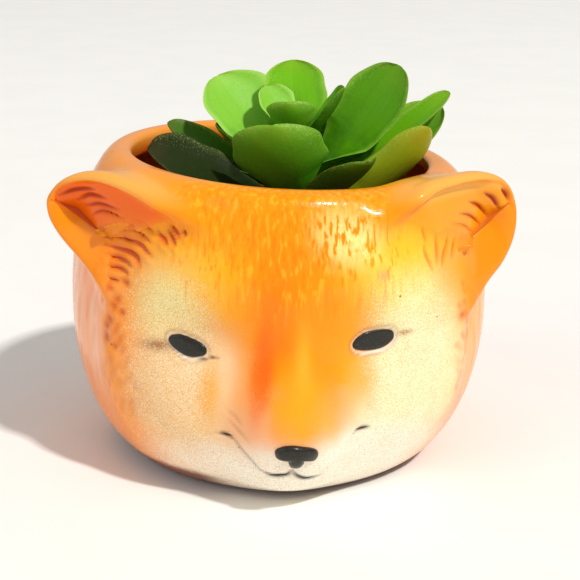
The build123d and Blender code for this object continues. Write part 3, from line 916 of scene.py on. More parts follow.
@dataclass
class Ear:
    """One ear: a thick rolled flap with a fold down its open side, drawn in the plane of that side."""

    name: str
    side: int
    rim: Line
    valley: Line
    grooves: tuple[Line, ...]
    tip: tuple[float, float] = (59.5, -18.5)
    facing: float = EAR_FACING
    root: tuple[float, float] = (33.0, 63.0)
    flap: Line = ((3.2, 0.004), (4.8, 0.03), (7.5, 0.085), (13.0, 0.28), (19.0, 0.6), (21.0, 0.8))
    roll: float = 1.9
    fold_depth: float = 4.4
    wall_drop: float = 1.9
    groove_depth: float = 0.65
    columns: int = 360
    front_rings: int = 46
    back_rings: int = 22

    def outline(self) -> np.ndarray:
        """The rim, inwards from the head, round the tip and back, closed through the head."""
        rim = [(h, z, 0.0) for h, z in self.rim]
        start = [(47.0, 69.5, 7.5), (43.0, 72.4, 4.0)]
        end = [(22.0, self.rim[-1][1] - 3.4, 4.0), (27.0, 48.0, 9.0), (33.0, 55.0, 11.0), (40.0, 62.0, 11.0)]
        return smooth_line(start + rim + end, self.columns, closed=True)

    def fold(self, rim: np.ndarray) -> tuple[np.ndarray, np.ndarray]:
        """The point of the fold's bottom that each point of the rim looks down to, and how deep it is."""
        bottom = smooth_line(self.valley, 40)
        run = bottom[-1] - bottom[0]
        share = np.clip((rim[:, :2] - bottom[0] - (2.5, 2.0)) @ run / (run @ run) * 0.92, 0.0, 1.0)
        steps = np.linspace(0.0, 1.0, len(bottom))
        looked_at = np.column_stack([np.interp(share, steps, axis) for axis in bottom.T])
        return looked_at, 0.2 + 0.8 * smoothly(share, 0.0, 0.3)

    def cuts(self, inwards: np.ndarray, z: np.ndarray) -> np.ndarray:
        """Depth of the grooves combed into the upper wall of the fold."""
        depth = np.zeros(z.shape)
        for groove in self.grooves:
            line = smooth_line(groove, 24)
            gaps = np.hypot(inwards[..., None] - line[:, 0], z[..., None] - line[:, 1])
            fade = np.sin(pi * np.clip(gaps.argmin(-1) / 23.0, 0.05, 0.95)) ** 0.5
            depth = np.maximum(depth, fade * np.exp(-((gaps.min(-1) / (0.22 + 0.28 * fade)) ** 2)))
        return depth

    def placed(self, plane_points: np.ndarray) -> np.ndarray:
        """Points of the ear's plane in the planter's own frame."""
        c, s = cos(self.facing), sin(self.facing)
        h, z, back = np.moveaxis(plane_points, -1, 0)
        x = self.tip[0] - h * c - back * s
        y = self.tip[1] + AXIS_Y - h * s + back * c
        return np.stack([self.side * x, y, z], axis=-1)

    def open_side(self, rim: np.ndarray) -> Iterator[tuple[np.ndarray, np.ndarray, np.ndarray, np.ndarray]]:
        """The rings from the fold's bottom to the rim.

        Args:
            rim: The rim's points.

        Yields:
            A ring, and for its points how red the wall is, the grooves, and the share of the way down.
        """
        bottom, deep = self.fold(rim)
        reach = np.linalg.norm(bottom - rim[:, :2], axis=1)
        upper = smoothly(rim[:, 1] - bottom[:, 1], -1.0, 2.5)
        for share in np.linspace(0.998, 0.0, self.front_rings) ** 1.3:
            flat = rim.copy()
            flat[:, :2] += share * (bottom - rim[:, :2])
            from_rim = share * reach
            roll = self.roll - np.sqrt(self.roll**2 - np.clip(self.roll - from_rim, 0.0, self.roll) ** 2)
            inner = np.clip((from_rim - self.roll) / np.maximum(reach - self.roll, 0.5), 0.0, 1.0)
            drop = self.wall_drop * smoothly(from_rim, 2.0, 4.4)
            wall = deep * (drop + (self.fold_depth - self.wall_drop) * inner**1.1)
            band = deep * self.fold_depth * inner**1.4
            cut = self.cuts(flat[:, 0], flat[:, 1]) * upper * smoothly(from_rim, 1.5, 3.0)
            depth = upper * wall + (1.0 - upper) * band + self.groove_depth * cut
            flat[:, 2] = flat[:, 2] * (1.0 - share) + roll + depth
            red = upper * smoothly(from_rim, 2.2, 4.2) + (1.0 - upper) * smoothly(inner, 0.80, 0.98)
            yield flat, red, cut, np.full(len(rim), share)

    def far_side(self, rim: np.ndarray) -> Iterator[tuple[np.ndarray, np.ndarray, np.ndarray, np.ndarray]]:
        """The rings from the rim round the back to the root, in the same form, without marks."""
        root = np.array([*self.root, 0.0])
        plain = np.zeros(len(rim))
        for back, share in smooth_line(((self.roll, 0.0), *self.flap), self.back_rings)[1:]:
            flat = rim * (1 - share) + root * share
            flat[:, 2] = np.maximum(rim[:, 2] * (1 - share), 0.0) + back
            yield flat, plain, plain, plain

    def build(self, finish: bpy.types.Material) -> bpy.types.Object:
        """Makes the ear: from the fold's bottom over the rolled rim, and round the back into the head."""
        rim = self.outline()
        rings = [*self.open_side(rim), *self.far_side(rim)]
        flats, red, cuts, folded = (np.array(layer) for layer in zip(*rings))
        points, faces = closed_skin(self.placed(flats))
        marks = {
            "fold": np.concatenate([[1.0], red.ravel(), [0.0]]),
            "groove": np.pad(cuts.ravel(), 1),
            "folded": np.concatenate([[1.0], folded.ravel(), [0.0]]),
            "ear": np.ones(len(points)),
        }
        ear = new_piece(f"fox_{self.name}", points, faces, marks)
        settle(ear, Body.PLANTER, Slot.EAR_GLAZE, finish, self.name)
        return ear


EARS = (
    Ear(
        "left_ear", 1,
        ((38.0, 76.4), (32.1, 78.7), (25.1, 79.3), (20.3, 79.3), (15.4, 78.9), (10.8, 77.8),
         (7.2, 76.2), (4.4, 74.0), (2.3, 71.3), (1.2, 68.2), (1.0, 65.2), (1.4, 61.4), (2.7, 57.6),
         (5.9, 53.4), (10.6, 50.1), (14.2, 47.2), (18.0, 44.8)),
        ((4.6, 69.4), (6.8, 66.8), (10.6, 64.2), (16.9, 61.2), (22.0, 59.0)),
        (
            ((7.6, 73.6), (5.8, 72.0), (4.8, 70.4)),
            ((12.2, 73.0), (9.2, 71.2), (6.6, 68.2)),
            ((16.8, 71.4), (12.6, 69.6), (8.6, 66.4)),
            ((20.4, 69.2), (15.6, 67.6), (11.2, 64.6)),
            ((23.6, 67.2), (18.6, 65.8), (14.0, 63.0)),
            ((28.2, 65.6), (22.9, 64.6), (17.0, 61.6)),
        ),
    ),
    Ear(
        "right_ear", -1,
        ((38.0, 75.2), (32.0, 77.6), (25.6, 79.2), (19.6, 79.8), (13.5, 79.1), (9.0, 77.6), (5.2, 75.4),
         (2.3, 72.7), (1.1, 70.6), (1.1, 68.4), (2.1, 65.6), (4.6, 62.3), (8.0, 59.4), (11.5, 56.9),
         (15.5, 53.9), (19.0, 51.0)),
        ((4.2, 71.0), (8.1, 68.6), (12.5, 65.8), (16.5, 63.8), (20.6, 62.2)),
        (
            ((5.6, 72.4), (10.2, 74.2), (15.4, 74.9)),
            ((9.6, 71.2), (13.4, 73.2), (19.1, 73.3)),
            ((11.3, 69.9), (16.5, 71.5), (23.4, 71.3)),
            ((13.5, 68.3), (18.0, 70.0), (24.9, 69.5)),
            ((17.8, 66.0), (22.6, 67.6), (28.2, 68.3)),
            ((20.4, 64.6), (25.7, 66.7), (31.9, 67.4)),
        ),
    ),
)


@dataclass(frozen=True)
class Bead:
    """A bead of black glaze on the skin: its outline on the unrolled face, its dome and its foot."""

    name: str
    node: str
    edge: Line
    rise: float
    foot: float = 0.9
    fullness: float = 0.8
    columns: int = 72

    def build(self, finish: bpy.types.Material) -> bpy.types.Object:
        """Makes the bead as a closed dome that follows the skin."""
        edge = smooth_line(self.edge, self.columns, closed=True)
        middle = edge.mean(0)
        levels = [(0.5, -self.foot), (0.95, -self.foot), (1.0, -0.8 * self.foot), (1.0, 0.0)]
        bends = np.linspace(0.08, 0.98, 16) * pi / 2
        levels += [(cos(bend) ** 0.9, self.rise * sin(bend) ** self.fullness) for bend in bends]
        rings = []
        for share, up in levels:
            across, z = (middle + (edge - middle) * share).T
            rings.append(around_axis(across / FACE_SPAN, skin_radius(across / FACE_SPAN, z) + up, z))
        points, faces = closed_skin(np.array(rings))
        bead = new_piece(self.name, points, faces, {})
        settle(bead, Body.PLANTER, Slot.BLACK_GLAZE, finish, self.node)
        return bead


BEADS = (
    Bead("fox_left_eye", "left_eye", LEFT_EYE_EDGE, 0.75),
    Bead("fox_right_eye", "right_eye", RIGHT_EYE_EDGE, 0.75),
    Bead("fox_nose", "nose_pad", NOSE_EDGE, 1.85, fullness=0.6),
)


@dataclass(frozen=True)
class Zone:
    """A soft patch of colour on the unrolled face: sprayed glaze, and in some patches painted light and
    shade.
    """

    colour: Colour
    across: float
    height: float
    half_width: float
    half_height: float
    strength: float = 1.0
    plateau: float = 1.0
    tilt: float = 0.0


ZONES = (
    Zone((252, 152, 6), 0.0, 60.0, 52.0, 26.0, 1.0, 4.0),
    Zone((252, 148, 34), -42.0, 34.0, 8.5, 30.0, 1.0, 2.0),
    Zone((250, 160, 40), 47.5, 42.0, 8.0, 20.0, 1.0, 2.0),
    Zone((248, 140, 18), -45.0, 62.5, 9.0, 8.0, 0.85, 2.0),
    Zone((248, 180, 76), 58.0, 38.0, 8.0, 22.0, 0.75, 2.0),
    Zone((250, 188, 36), -23.0, 57.0, 12.0, 9.0, 0.85),
    Zone((250, 200, 44), 27.0, 60.0, 15.0, 10.0, 0.9, 1.5),
    # Cream of the upper cheeks, lower cheeks and muzzle: one cream, painted darker and warmer on the fox's
    # right as painted shade, and whiter on its left as painted light.
    Zone((246, 226, 150), -29.5, 48.0, 9.5, 12.0, 1.0, 1.7, 12.0),
    Zone((250, 236, 132), 29.5, 50.0, 11.5, 9.0, 0.95, 1.5, -8.0),
    Zone((252, 210, 150), -25.0, 27.0, 16.5, 20.0, 1.0, 2.0, 6.0),
    Zone((252, 240, 188), 31.0, 29.0, 17.5, 24.0, 1.0, 2.6, -6.0),
    Zone((250, 222, 186), -19.0, 37.0, 7.5, 7.0, 0.6),
    Zone((252, 232, 206), -6.0, 7.0, 34.0, 12.0, 1.0, 2.6),
    Zone((255, 250, 232), 14.0, 9.0, 34.0, 14.0, 0.95, 2.4),
    Zone((248, 158, 14), 13.0, 42.0, 8.0, 15.0, 0.85, 1.6, -14.0),
    Zone((250, 144, 3), 0.5, 50.0, 12.0, 26.0, 1.0, 2.2),
    Zone((247, 164, 28), 1.6, 29.5, 6.6, 9.0, 0.95, 2.0),
    # Deep orange-red stripe down the fox's right side of the bridge and onto the forehead: partly the glaze's
    # deeper orange, partly painted shade on the side of the muzzle away from the light.
    Zone((250, 104, 2), -6.6, 38.0, 2.7, 13.0, 1.0, 1.6, -7.0),
    Zone((250, 124, 6), -3.0, 52.0, 4.5, 9.0, 0.8, 1.2),
    # Painted highlight down the bridge.
    Zone((250, 186, 52), 2.4, 40.6, 1.9, 6.5, 0.6),
    Zone((250, 150, 40), -11.0, 30.5, 3.6, 9.0, 0.55, 1.0, -10.0),
    Zone((250, 170, 50), -19.2, 31.5, 3.0, 8.5, 0.8, 1.2),
    Zone((246, 172, 52), 17.0, 34.0, 4.2, 5.5, 0.75),
    Zone((244, 178, 60), 8.6, 24.5, 3.0, 4.5, 0.5),
    Zone((238, 176, 136), -12.5, 24.5, 4.5, 4.5, 0.5),
    Zone((158, 100, 54), -33.0, 40.4, 4.4, 1.5, 0.85, 1.0, 6.0),
    Zone((160, 116, 70), 29.4, 43.2, 2.2, 0.8, 0.85),
    Zone((228, 160, 110), 22.3, 58.6, 1.3, 1.3, 0.7),
    Zone((236, 120, 20), -2.0, 44.5, 3.2, 3.4, 0.5),
)


# A painted highlight on the forehead's upper right.
FOREHEAD_HIGHLIGHT = Zone((253, 238, 150), 14.5, 67.5, 8.5, 6.0, 0.85, 1.5, -20.0)


class FoxGlaze(Paint):
    """The sprayed and glazed finish of the fox: orange over cream, fine specks, painted light and shade, and
    a glassy coat.
    """

    def __init__(self, name: str, ground: Colour) -> None:
        """Works out where on the unrolled face each point lies."""
        super().__init__(name, ground)
        turn = self.x.sum_of("ARCTAN2", self.x, AXIS_Y - self.y)
        self.across = turn * FACE_SPAN
        self.cloud = self.noise(5.0, 4.0) - 0.5
        self.spray = self.noise(0.5, 2.0, 3.0) - 0.5

    def zone(self, zone: Zone) -> Field:
        """How much of a patch covers each place, with a sprayed edge."""
        c, s = cos(radians(zone.tilt)), sin(radians(zone.tilt))
        right, up = self.across - zone.across, self.z - zone.height
        right, up = (right * c + up * s) / zone.half_width, (up * c - right * s) / zone.half_height
        reach = right * right + up * up
        if zone.plateau != 1.0:
            reach = reach**zone.plateau
        return (reach * -1.0 + self.cloud * 0.9 + self.spray * 0.8).exp() * zone.strength

    def flanks(self) -> None:
        """Lays peach with soft upright bands over the flanks, and orange towards foot and shoulder."""
        bands = self.noise(7.0, 2.0, 5.0, (1.0, 1.0, 0.12))
        self.lay((253, 196, 160), bands.step(0.50, 0.62) * 0.65)
        self.lay((250, 152, 96), bands.step(0.48, 0.38) * 0.6)
        self.lay((252, 158, 52), self.z.step(56.0, 68.0) * 0.95)
        self.lay((252, 148, 56), self.z.step(34.0, 14.0) * 0.8)

    def stipple(self) -> None:
        """Lays fine brown and white specks over the cream, coarser ones on the muzzle."""
        wide = self.across.size()
        cheeks = self.z.step(64.0, 50.0) * wide.step(47.0, 38.0) * wide.step(14.0, 22.0)
        self.cream = cheeks.at_least(self.z.step(22.0, 14.0) * wide.step(52.0, 40.0))
        self.lay((186, 136, 72), self.noise(0.24, 1.0, 11.0).step(0.50, 0.66) * self.cream * 0.55)
        self.lay((255, 246, 222), self.noise(0.34, 1.0, 17.0).step(0.54, 0.68) * self.cream * 0.55)
        self.lay((104, 72, 40), self.dots(0.9, 0.15, 0.16, 2.0) * self.cream * 0.7)
        muzzle = self.z.step(26.0, 18.0) * wide.step(26.0, 16.0)
        self.lay((74, 58, 46), self.dots(2.1, 0.24, 0.35, 6.0) * muzzle * 0.8)
        self.lay((46, 34, 26), self.dots(8.5, 0.42, 0.30, 9.0) * 0.75)

    def forehead(self) -> None:
        """Lays soft upright streaks over the forehead, and a painted highlight at its upper right, broken by
        the streaks.
        """
        streaks = self.noise(1.0, 2.0, 31.0, (1.0, 1.0, 0.10))
        top = self.z.step(46.0, 60.0) * self.across.size().step(36.0, 24.0)
        self.lay((252, 186, 48), streaks.step(0.54, 0.66) * top * 0.55)
        self.lay((248, 128, 4), streaks.step(0.46, 0.34) * top * 0.55)
        # Painted highlight, broken by the streaks.
        self.lay((253, 238, 150), streaks.step(0.38, 0.52) * self.zone(FOREHEAD_HIGHLIGHT))

    def ears(self) -> None:
        """Lays the ears' colours over the head's where the ears grow, with painted shade in the folds and
        painted light on the fold of the fox's left ear.
        """
        fold, left = self.mark("fold"), self.x.step(0.0, 1.0)
        rim = 1.0 - fold
        head, self.colour = self.colour, None
        self.ground = (252, 146, 12)
        self.lay((252, 176, 78), self.z.step(73.0, 78.5) * rim)
        self.lay((253, 170, 112), self.y.step(-13.0, -3.0) * 0.8)
        # Red of the folds' walls: partly the ears' redder glaze, partly painted shade where the walls face
        # away from the light.
        self.lay((250, 108, 12), fold * self.z.step(58.0, 66.0))
        # Painted light: the fold of the fox's left ear, which faces the light, is lighter orange, palest at
        # its top.
        self.lay((250, 158, 26), fold * left)
        self.lay((252, 186, 80), self.z.step(72.5, 76.0) * fold * left * 0.8)
        self.lay((252, 140, 6), self.z.step(71.0, 66.0) * rim * self.y.step(-6.0, -10.0) * 0.8)
        self.lay((176, 44, 6), (self.mark("groove") * 1.3).at_most(1.0))
        # Painted shade in the crease at the bottom of each fold.
        self.lay((206, 66, 8), self.mark("folded").step(0.955, 0.995) * 0.6)
        self.joined(head, self.mark("ear"))

    def marks(self) -> None:
        """Lays the dark glaze of the carving, painted shade along the foot and low on the fox's right side,
        and the paint strokes.
        """
        carved = self.mark("carved")
        self.lay((206, 62, 6), (carved * 1.15).at_most(1.0) * self.z.step(34.0, 40.0) * 0.95)
        low_flank = self.z.step(48.0, 36.0) * self.across.size().step(34.0, 42.0)
        self.lay((186, 84, 30), carved.at_most(1.0) * low_flank * 0.6)
        # Painted shade where the pot meets the floor.
        self.lay((112, 62, 30), self.z.step(3.4, 1.2) * 0.9)
        # Painted shade on the underside of the fox's right side, away from the light.
        shade_side = self.across.step(-12.0, -28.0) * self.across.step(-100.0, -75.0)
        self.lay((110, 38, 14), (self.z + self.cloud * 1.5).step(7.5, 4.5) * shade_side * 0.9)
        self.lay((255, 240, 214), (self.mark("pale") * 1.4).at_most(1.0))
        self.lay((40, 36, 34), self.mark("ink") * 1.25)

    def hollow(self) -> None:
        """Lays the redder orange of the inside and the bare clay of the foot ring."""
        off_axis = (self.x * self.x + (self.y - AXIS_Y) * (self.y - AXIS_Y)) ** 0.5
        self.lay((240, 104, 10), self.mark("inside"))
        self.lay((226, 206, 182), self.z.below(0.25) * off_axis.below(FOOT_RADIUS + 0.2))


def fox_glaze(name: str) -> bpy.types.Material:
    """The glaze of the fox, the same for its head and its ears."""
    paint = FoxGlaze(name, (252, 172, 124))
    paint.flanks()
    for zone in ZONES:
        paint.lay(zone.colour, paint.zone(zone))
    paint.forehead()
    paint.stipple()
    paint.ears()
    paint.marks()
    paint.hollow()
    paint.raise_by(paint.noise(1.3, 3.0, 21.0) + paint.noise(0.35, 1.0, 23.0) * 0.35, 0.08)
    paint.roughen(0.22 + paint.cream * 0.22 + (paint.noise(3.0, 2.0, 29.0) - 0.5) * 0.10)
    return paint.done(Coat_Weight=0.3, Coat_Roughness=0.06, Coat_IOR=1.45, Specular_IOR_Level=0.12)


def black_glaze() -> bpy.types.Material:
    """The black glaze of the eyes and the nose, thin in places, with a speckled face."""
    paint = Paint("black_glaze", (34, 32, 26))
    paint.lay((70, 67, 60), paint.noise(0.5, 3.0).step(0.54, 0.72) * 0.4)
    paint.lay((18, 16, 14), paint.dots(0.9, 0.3, 0.5) * 0.8)
    paint.raise_by(paint.noise(0.5, 2.0, 4.0), 0.05)
    paint.roughen(0.20 + paint.noise(0.8, 2.0, 6.0) * 0.25)
    return paint.done(Coat_Weight=0.25, Coat_Roughness=0.1, Specular_IOR_Level=0.25)


def foam_finish() -> bpy.types.Material:
    """Dark green florist's foam with open cells."""
    paint = Paint("foam", (52, 78, 50))
    paint.lay((34, 52, 34), paint.dots(1.1, 0.5, 0.8))
    paint.raise_by(paint.dots(1.1, 0.5, 0.8) * -1.0, 0.3)
    return paint.done(Roughness=0.95)


def grit_finish() -> bpy.types.Material:
    """Dark brown grit, each stone a little different."""
    paint = Paint("grit", (58, 40, 28))
    paint.lay((104, 78, 54), paint.noise(2.4, 1.0).step(0.50, 0.62))
    paint.lay((30, 22, 18), paint.noise(0.4, 3.0, 5.0).step(0.55, 0.7) * 0.7)
    paint.raise_by(paint.noise(0.4, 3.0, 7.0), 0.12)
    return paint.done(Roughness=0.85)


def wire_finish() -> bpy.types.Material:
    """Drawn steel wire with faint lines along it."""
    paint = Paint("wire", (150, 150, 146))
    paint.lay((110, 108, 102), paint.noise(0.3, 2.0, 0.0, (1.0, 1.0, 0.05)).step(0.45, 0.7))
    return paint.done(Metallic=1.0, Roughness=0.35)


def stem_finish() -> bpy.types.Material:
    """Moulded green stem, browner towards the roots."""
    paint = Paint("stem_green", (96, 132, 42))
    paint.lay((58, 74, 30), paint.noise(1.6, 3.0, 2.0).step(0.48, 0.66) * 0.7)
    paint.lay((92, 66, 36), paint.z.step(66.0, 54.0) * 0.7)
    paint.raise_by(paint.noise(0.7, 3.0, 3.0, (1.0, 1.0, 0.4)), 0.15)
    return paint.done(Roughness=0.5)


@dataclass(frozen=True)
class LeafFinish:
    """One green of the leaves, as a lit or shaded copy: its upper side, the painted shade towards its root,
    its underside, its margin and its tip.
    """

    name: str
    upper: Colour
    shade: Colour
    under: Colour
    margin: Colour
    tip: Colour
    tipped: float

    def material(self) -> bpy.types.Material:
        """The leaf's finish: mottled green with painted shade towards the root, veins, a frosted margin and a
        flushed tip.
        """
        paint = Paint(self.name, self.upper)
        along, side, upper = paint.mark("along"), paint.mark("side"), paint.mark("upper")
        mottle = paint.noise(4.0, 3.0, 1.0) - 0.5
        # Painted shade towards the root, inside the rosette.
        paint.lay(self.shade, (along + mottle * 0.6).step(0.62, 0.02) * 0.85)
        veins = (side * 17.0 + mottle * 2.0).cos().step(0.55, 1.0) * (1.0 - side.size()).step(0.02, 0.3)
        paint.lay(self.shade, veins * 0.05)
        paint.lay(self.margin, (side.size() + mottle * 0.2).step(0.78, 1.0) * upper * 0.55)
        paint.lay(self.under, (1.0 - upper) * 0.75)
        paint.lay(self.tip, (along + mottle * 0.3).step(0.80, 1.0) * self.tipped)
        frost = (side.size() + (along * 0.6)).step(0.9, 1.5) * paint.noise(0.35, 2.0, 8.0).step(0.55, 0.68)
        paint.lay((214, 232, 168), frost * 0.30)
        paint.raise_by(paint.noise(0.5, 3.0, 5.0) + veins * 0.15, 0.07)
        paint.roughen(0.34 + paint.noise(1.2, 2.0, 9.0) * 0.22)
        return paint.done(Specular_IOR_Level=0.18, Subsurface_Weight=0.12, Subsurface_Scale=0.002)


# Lit and shaded copies of one green: each leaf takes the copy for the light or shade that falls on it, from
# lit and pale through half shaded to the darkest shadow; one lit copy is also yellower.
LIT_PALE_GREEN = LeafFinish(
    "leaf_lit_pale_green", (138, 204, 62), (78, 150, 28), (104, 154, 46),
    (188, 226, 118), (168, 208, 86), 0.3,
)
LIT_GREEN = LeafFinish(
    "leaf_lit_green", (122, 194, 22), (64, 136, 6), (88, 144, 24),
    (174, 220, 88), (156, 186, 50), 0.3,
)
HALF_SHADED_GREEN = LeafFinish(
    "leaf_half_shaded_green", (88, 156, 6), (42, 98, 2), (64, 112, 12),
    (142, 196, 58), (128, 158, 36), 0.3,
)
SHADED_GREEN = LeafFinish(
    "leaf_shaded_green", (62, 112, 8), (24, 60, 2), (44, 76, 14),
    (112, 156, 50), (90, 110, 34), 0.5,
)
DARKEST_SHADOW_GREEN = LeafFinish(
    "leaf_darkest_shadow_green", (34, 48, 10), (12, 24, 3), (44, 32, 14),
    (72, 86, 34), (64, 54, 26), 0.5,
)
LIT_YELLOWER_GREEN = LeafFinish(
    "leaf_lit_yellower_green", (164, 208, 22), (112, 160, 6), (146, 158, 26),
    (190, 200, 76), (168, 140, 40), 0.5,
)


@dataclass(frozen=True)
class Leaf:
    """One leaf: where it grows, how it rises, bends and twists, its size and its green."""

    name: str
    turn: float
    root: float
    lift: float
    bend: float
    twist: float
    length: float
    width: float
    finish: LeafFinish


LEAVES = (
    Leaf("leaf_crown_front", -27, 82.2, 42, 22, 11, 12.5, 12.5, LIT_GREEN),
    Leaf("leaf_crown_left", -123, 82.7, 41, 20, -22, 14.5, 11, LIT_PALE_GREEN),
    Leaf("leaf_crown_right", 86, 82.5, 42, 18, 0, 16, 9, HALF_SHADED_GREEN),
    Leaf("leaf_upper_back", -175, 78.9, 54, 27, -10, 23, 16.5, LIT_GREEN),
    Leaf("leaf_upper_left", -119, 75.9, 28, 26, -24, 30, 23, LIT_PALE_GREEN),
    Leaf("leaf_upper_corner", 91, 73.0, 34, 31, 54, 36, 17.2, HALF_SHADED_GREEN),
    Leaf("leaf_upper_right", 108, 71.7, 32, 20, 22, 32.5, 21, HALF_SHADED_GREEN),
    Leaf("leaf_upper_side", -98, 73.9, 18, 22, -7, 22.5, 14.5, HALF_SHADED_GREEN),
    Leaf("leaf_lower_front", -23, 66.7, 29, 44, 13, 29, 24, LIT_GREEN),
    Leaf("leaf_lower_left", -67, 65.3, 12, 24, -34, 42.5, 19.5, DARKEST_SHADOW_GREEN),
    Leaf("leaf_lower_side", -104, 68.6, 14, 23, -11, 36, 13, SHADED_GREEN),
    Leaf("leaf_lower_long", 90, 69.3, 22, 23, 19, 43.5, 10, LIT_GREEN),
    Leaf("leaf_lower_tip", 95, 64.2, 24, 23, 24, 42.5, 20, LIT_GREEN),
    Leaf("leaf_lower_right", 68, 61.7, 22, 35, -56, 40, 11, LIT_YELLOWER_GREEN),
    Leaf("leaf_lower_small", 30, 64.3, 27, 11, 2, 31, 16, HALF_SHADED_GREEN),
    Leaf("leaf_lower_back", 159, 69.3, 22, 19, -3, 31, 17, SHADED_GREEN),
    Leaf("leaf_lower_behind", -144, 70.0, 26, 20, 4, 30, 16, SHADED_GREEN),
)


class NodeShop:
    """A Geometry Nodes tree in the making, and the way to run it on a piece."""

    def __init__(self, name: str, inputs: Sequence[tuple[str, str]]) -> None:
        """Starts a tree with a geometry output and named inputs."""
        self.tree = bpy.data.node_groups.new(name, "GeometryNodeTree")
        self.tree.interface.new_socket("Geometry", in_out="INPUT", socket_type="NodeSocketGeometry")
        for label, kind in inputs:
            self.tree.interface.new_socket(label, in_out="INPUT", socket_type=kind)
        self.tree.interface.new_socket("Geometry", in_out="OUTPUT", socket_type="NodeSocketGeometry")
        self.group = self.tree.nodes.new("NodeGroupInput")
        self.end = self.tree.nodes.new("NodeGroupOutput")

    def node(self, kind: str, **values: object) -> bpy.types.Node:
        """A node, with its inputs by name: a socket, a field or a value. Low lines stand for spaces."""
        made = self.tree.nodes.new(kind)
        for label, value in values.items():
            place = made.inputs[label.replace("_", " ")]
            if isinstance(value, Field):
                self.tree.links.new(value.socket, place)
            elif isinstance(value, bpy.types.NodeSocket):
                self.tree.links.new(value, place)
            else:
                place.default_value = value
        return made

    def given(self, label: str) -> Field:
        """One of the tree's own inputs."""
        return Field(self.tree, self.group.outputs[label])

    def kept(self, geometry: bpy.types.NodeSocket, label: str, value: Field) -> bpy.types.NodeSocket:
        """Keeps a number on the points, for the finish."""
        store = self.node("GeometryNodeStoreNamedAttribute", Geometry=geometry, Name=label, Value=value)
        return store.outputs["Geometry"]

    def closes(self, geometry: bpy.types.NodeSocket) -> None:
        """Ends the tree with real, smooth geometry in the given material."""
        real = self.node("GeometryNodeRealizeInstances", Geometry=geometry)
        finish = self.group.outputs["Material"]
        dressed = self.node("GeometryNodeSetMaterial", Geometry=real.outputs[0], Material=finish)
        self.tree.links.new(dressed.outputs[0], self.end.inputs[0])

    def run(self, name: str, base: bpy.types.Mesh, values: dict[str, object]) -> bpy.types.Object:
        """Runs the tree on a mesh with its inputs set, and returns the result as one plain mesh piece."""
        carrier = bpy.data.objects.new(f"{name}_carrier", base)
        bpy.context.scene.collection.objects.link(carrier)
        modifier = carrier.modifiers.new("shape", "NODES")
        modifier.node_group = self.tree
        for item in self.tree.interface.items_tree:
            if item.in_out == "INPUT" and item.name in values:
                modifier[item.identifier] = values[item.name]
        carrier.update_tag()
        bpy.context.view_layer.update()
        graph = bpy.context.evaluated_depsgraph_get()
        mesh = bpy.data.meshes.new_from_object(carrier.evaluated_get(graph))
        carrier.modifiers.clear()
        bpy.data.objects.remove(carrier)
        mesh.name = name
        mesh.shade_smooth()
        piece = bpy.data.objects.new(name, mesh)
        bpy.context.scene.collection.objects.link(piece)
        return piece


LEAF_SIZES = ("Turn", "Root", "Lift", "Bend", "Twist", "Length", "Width", "Wave")


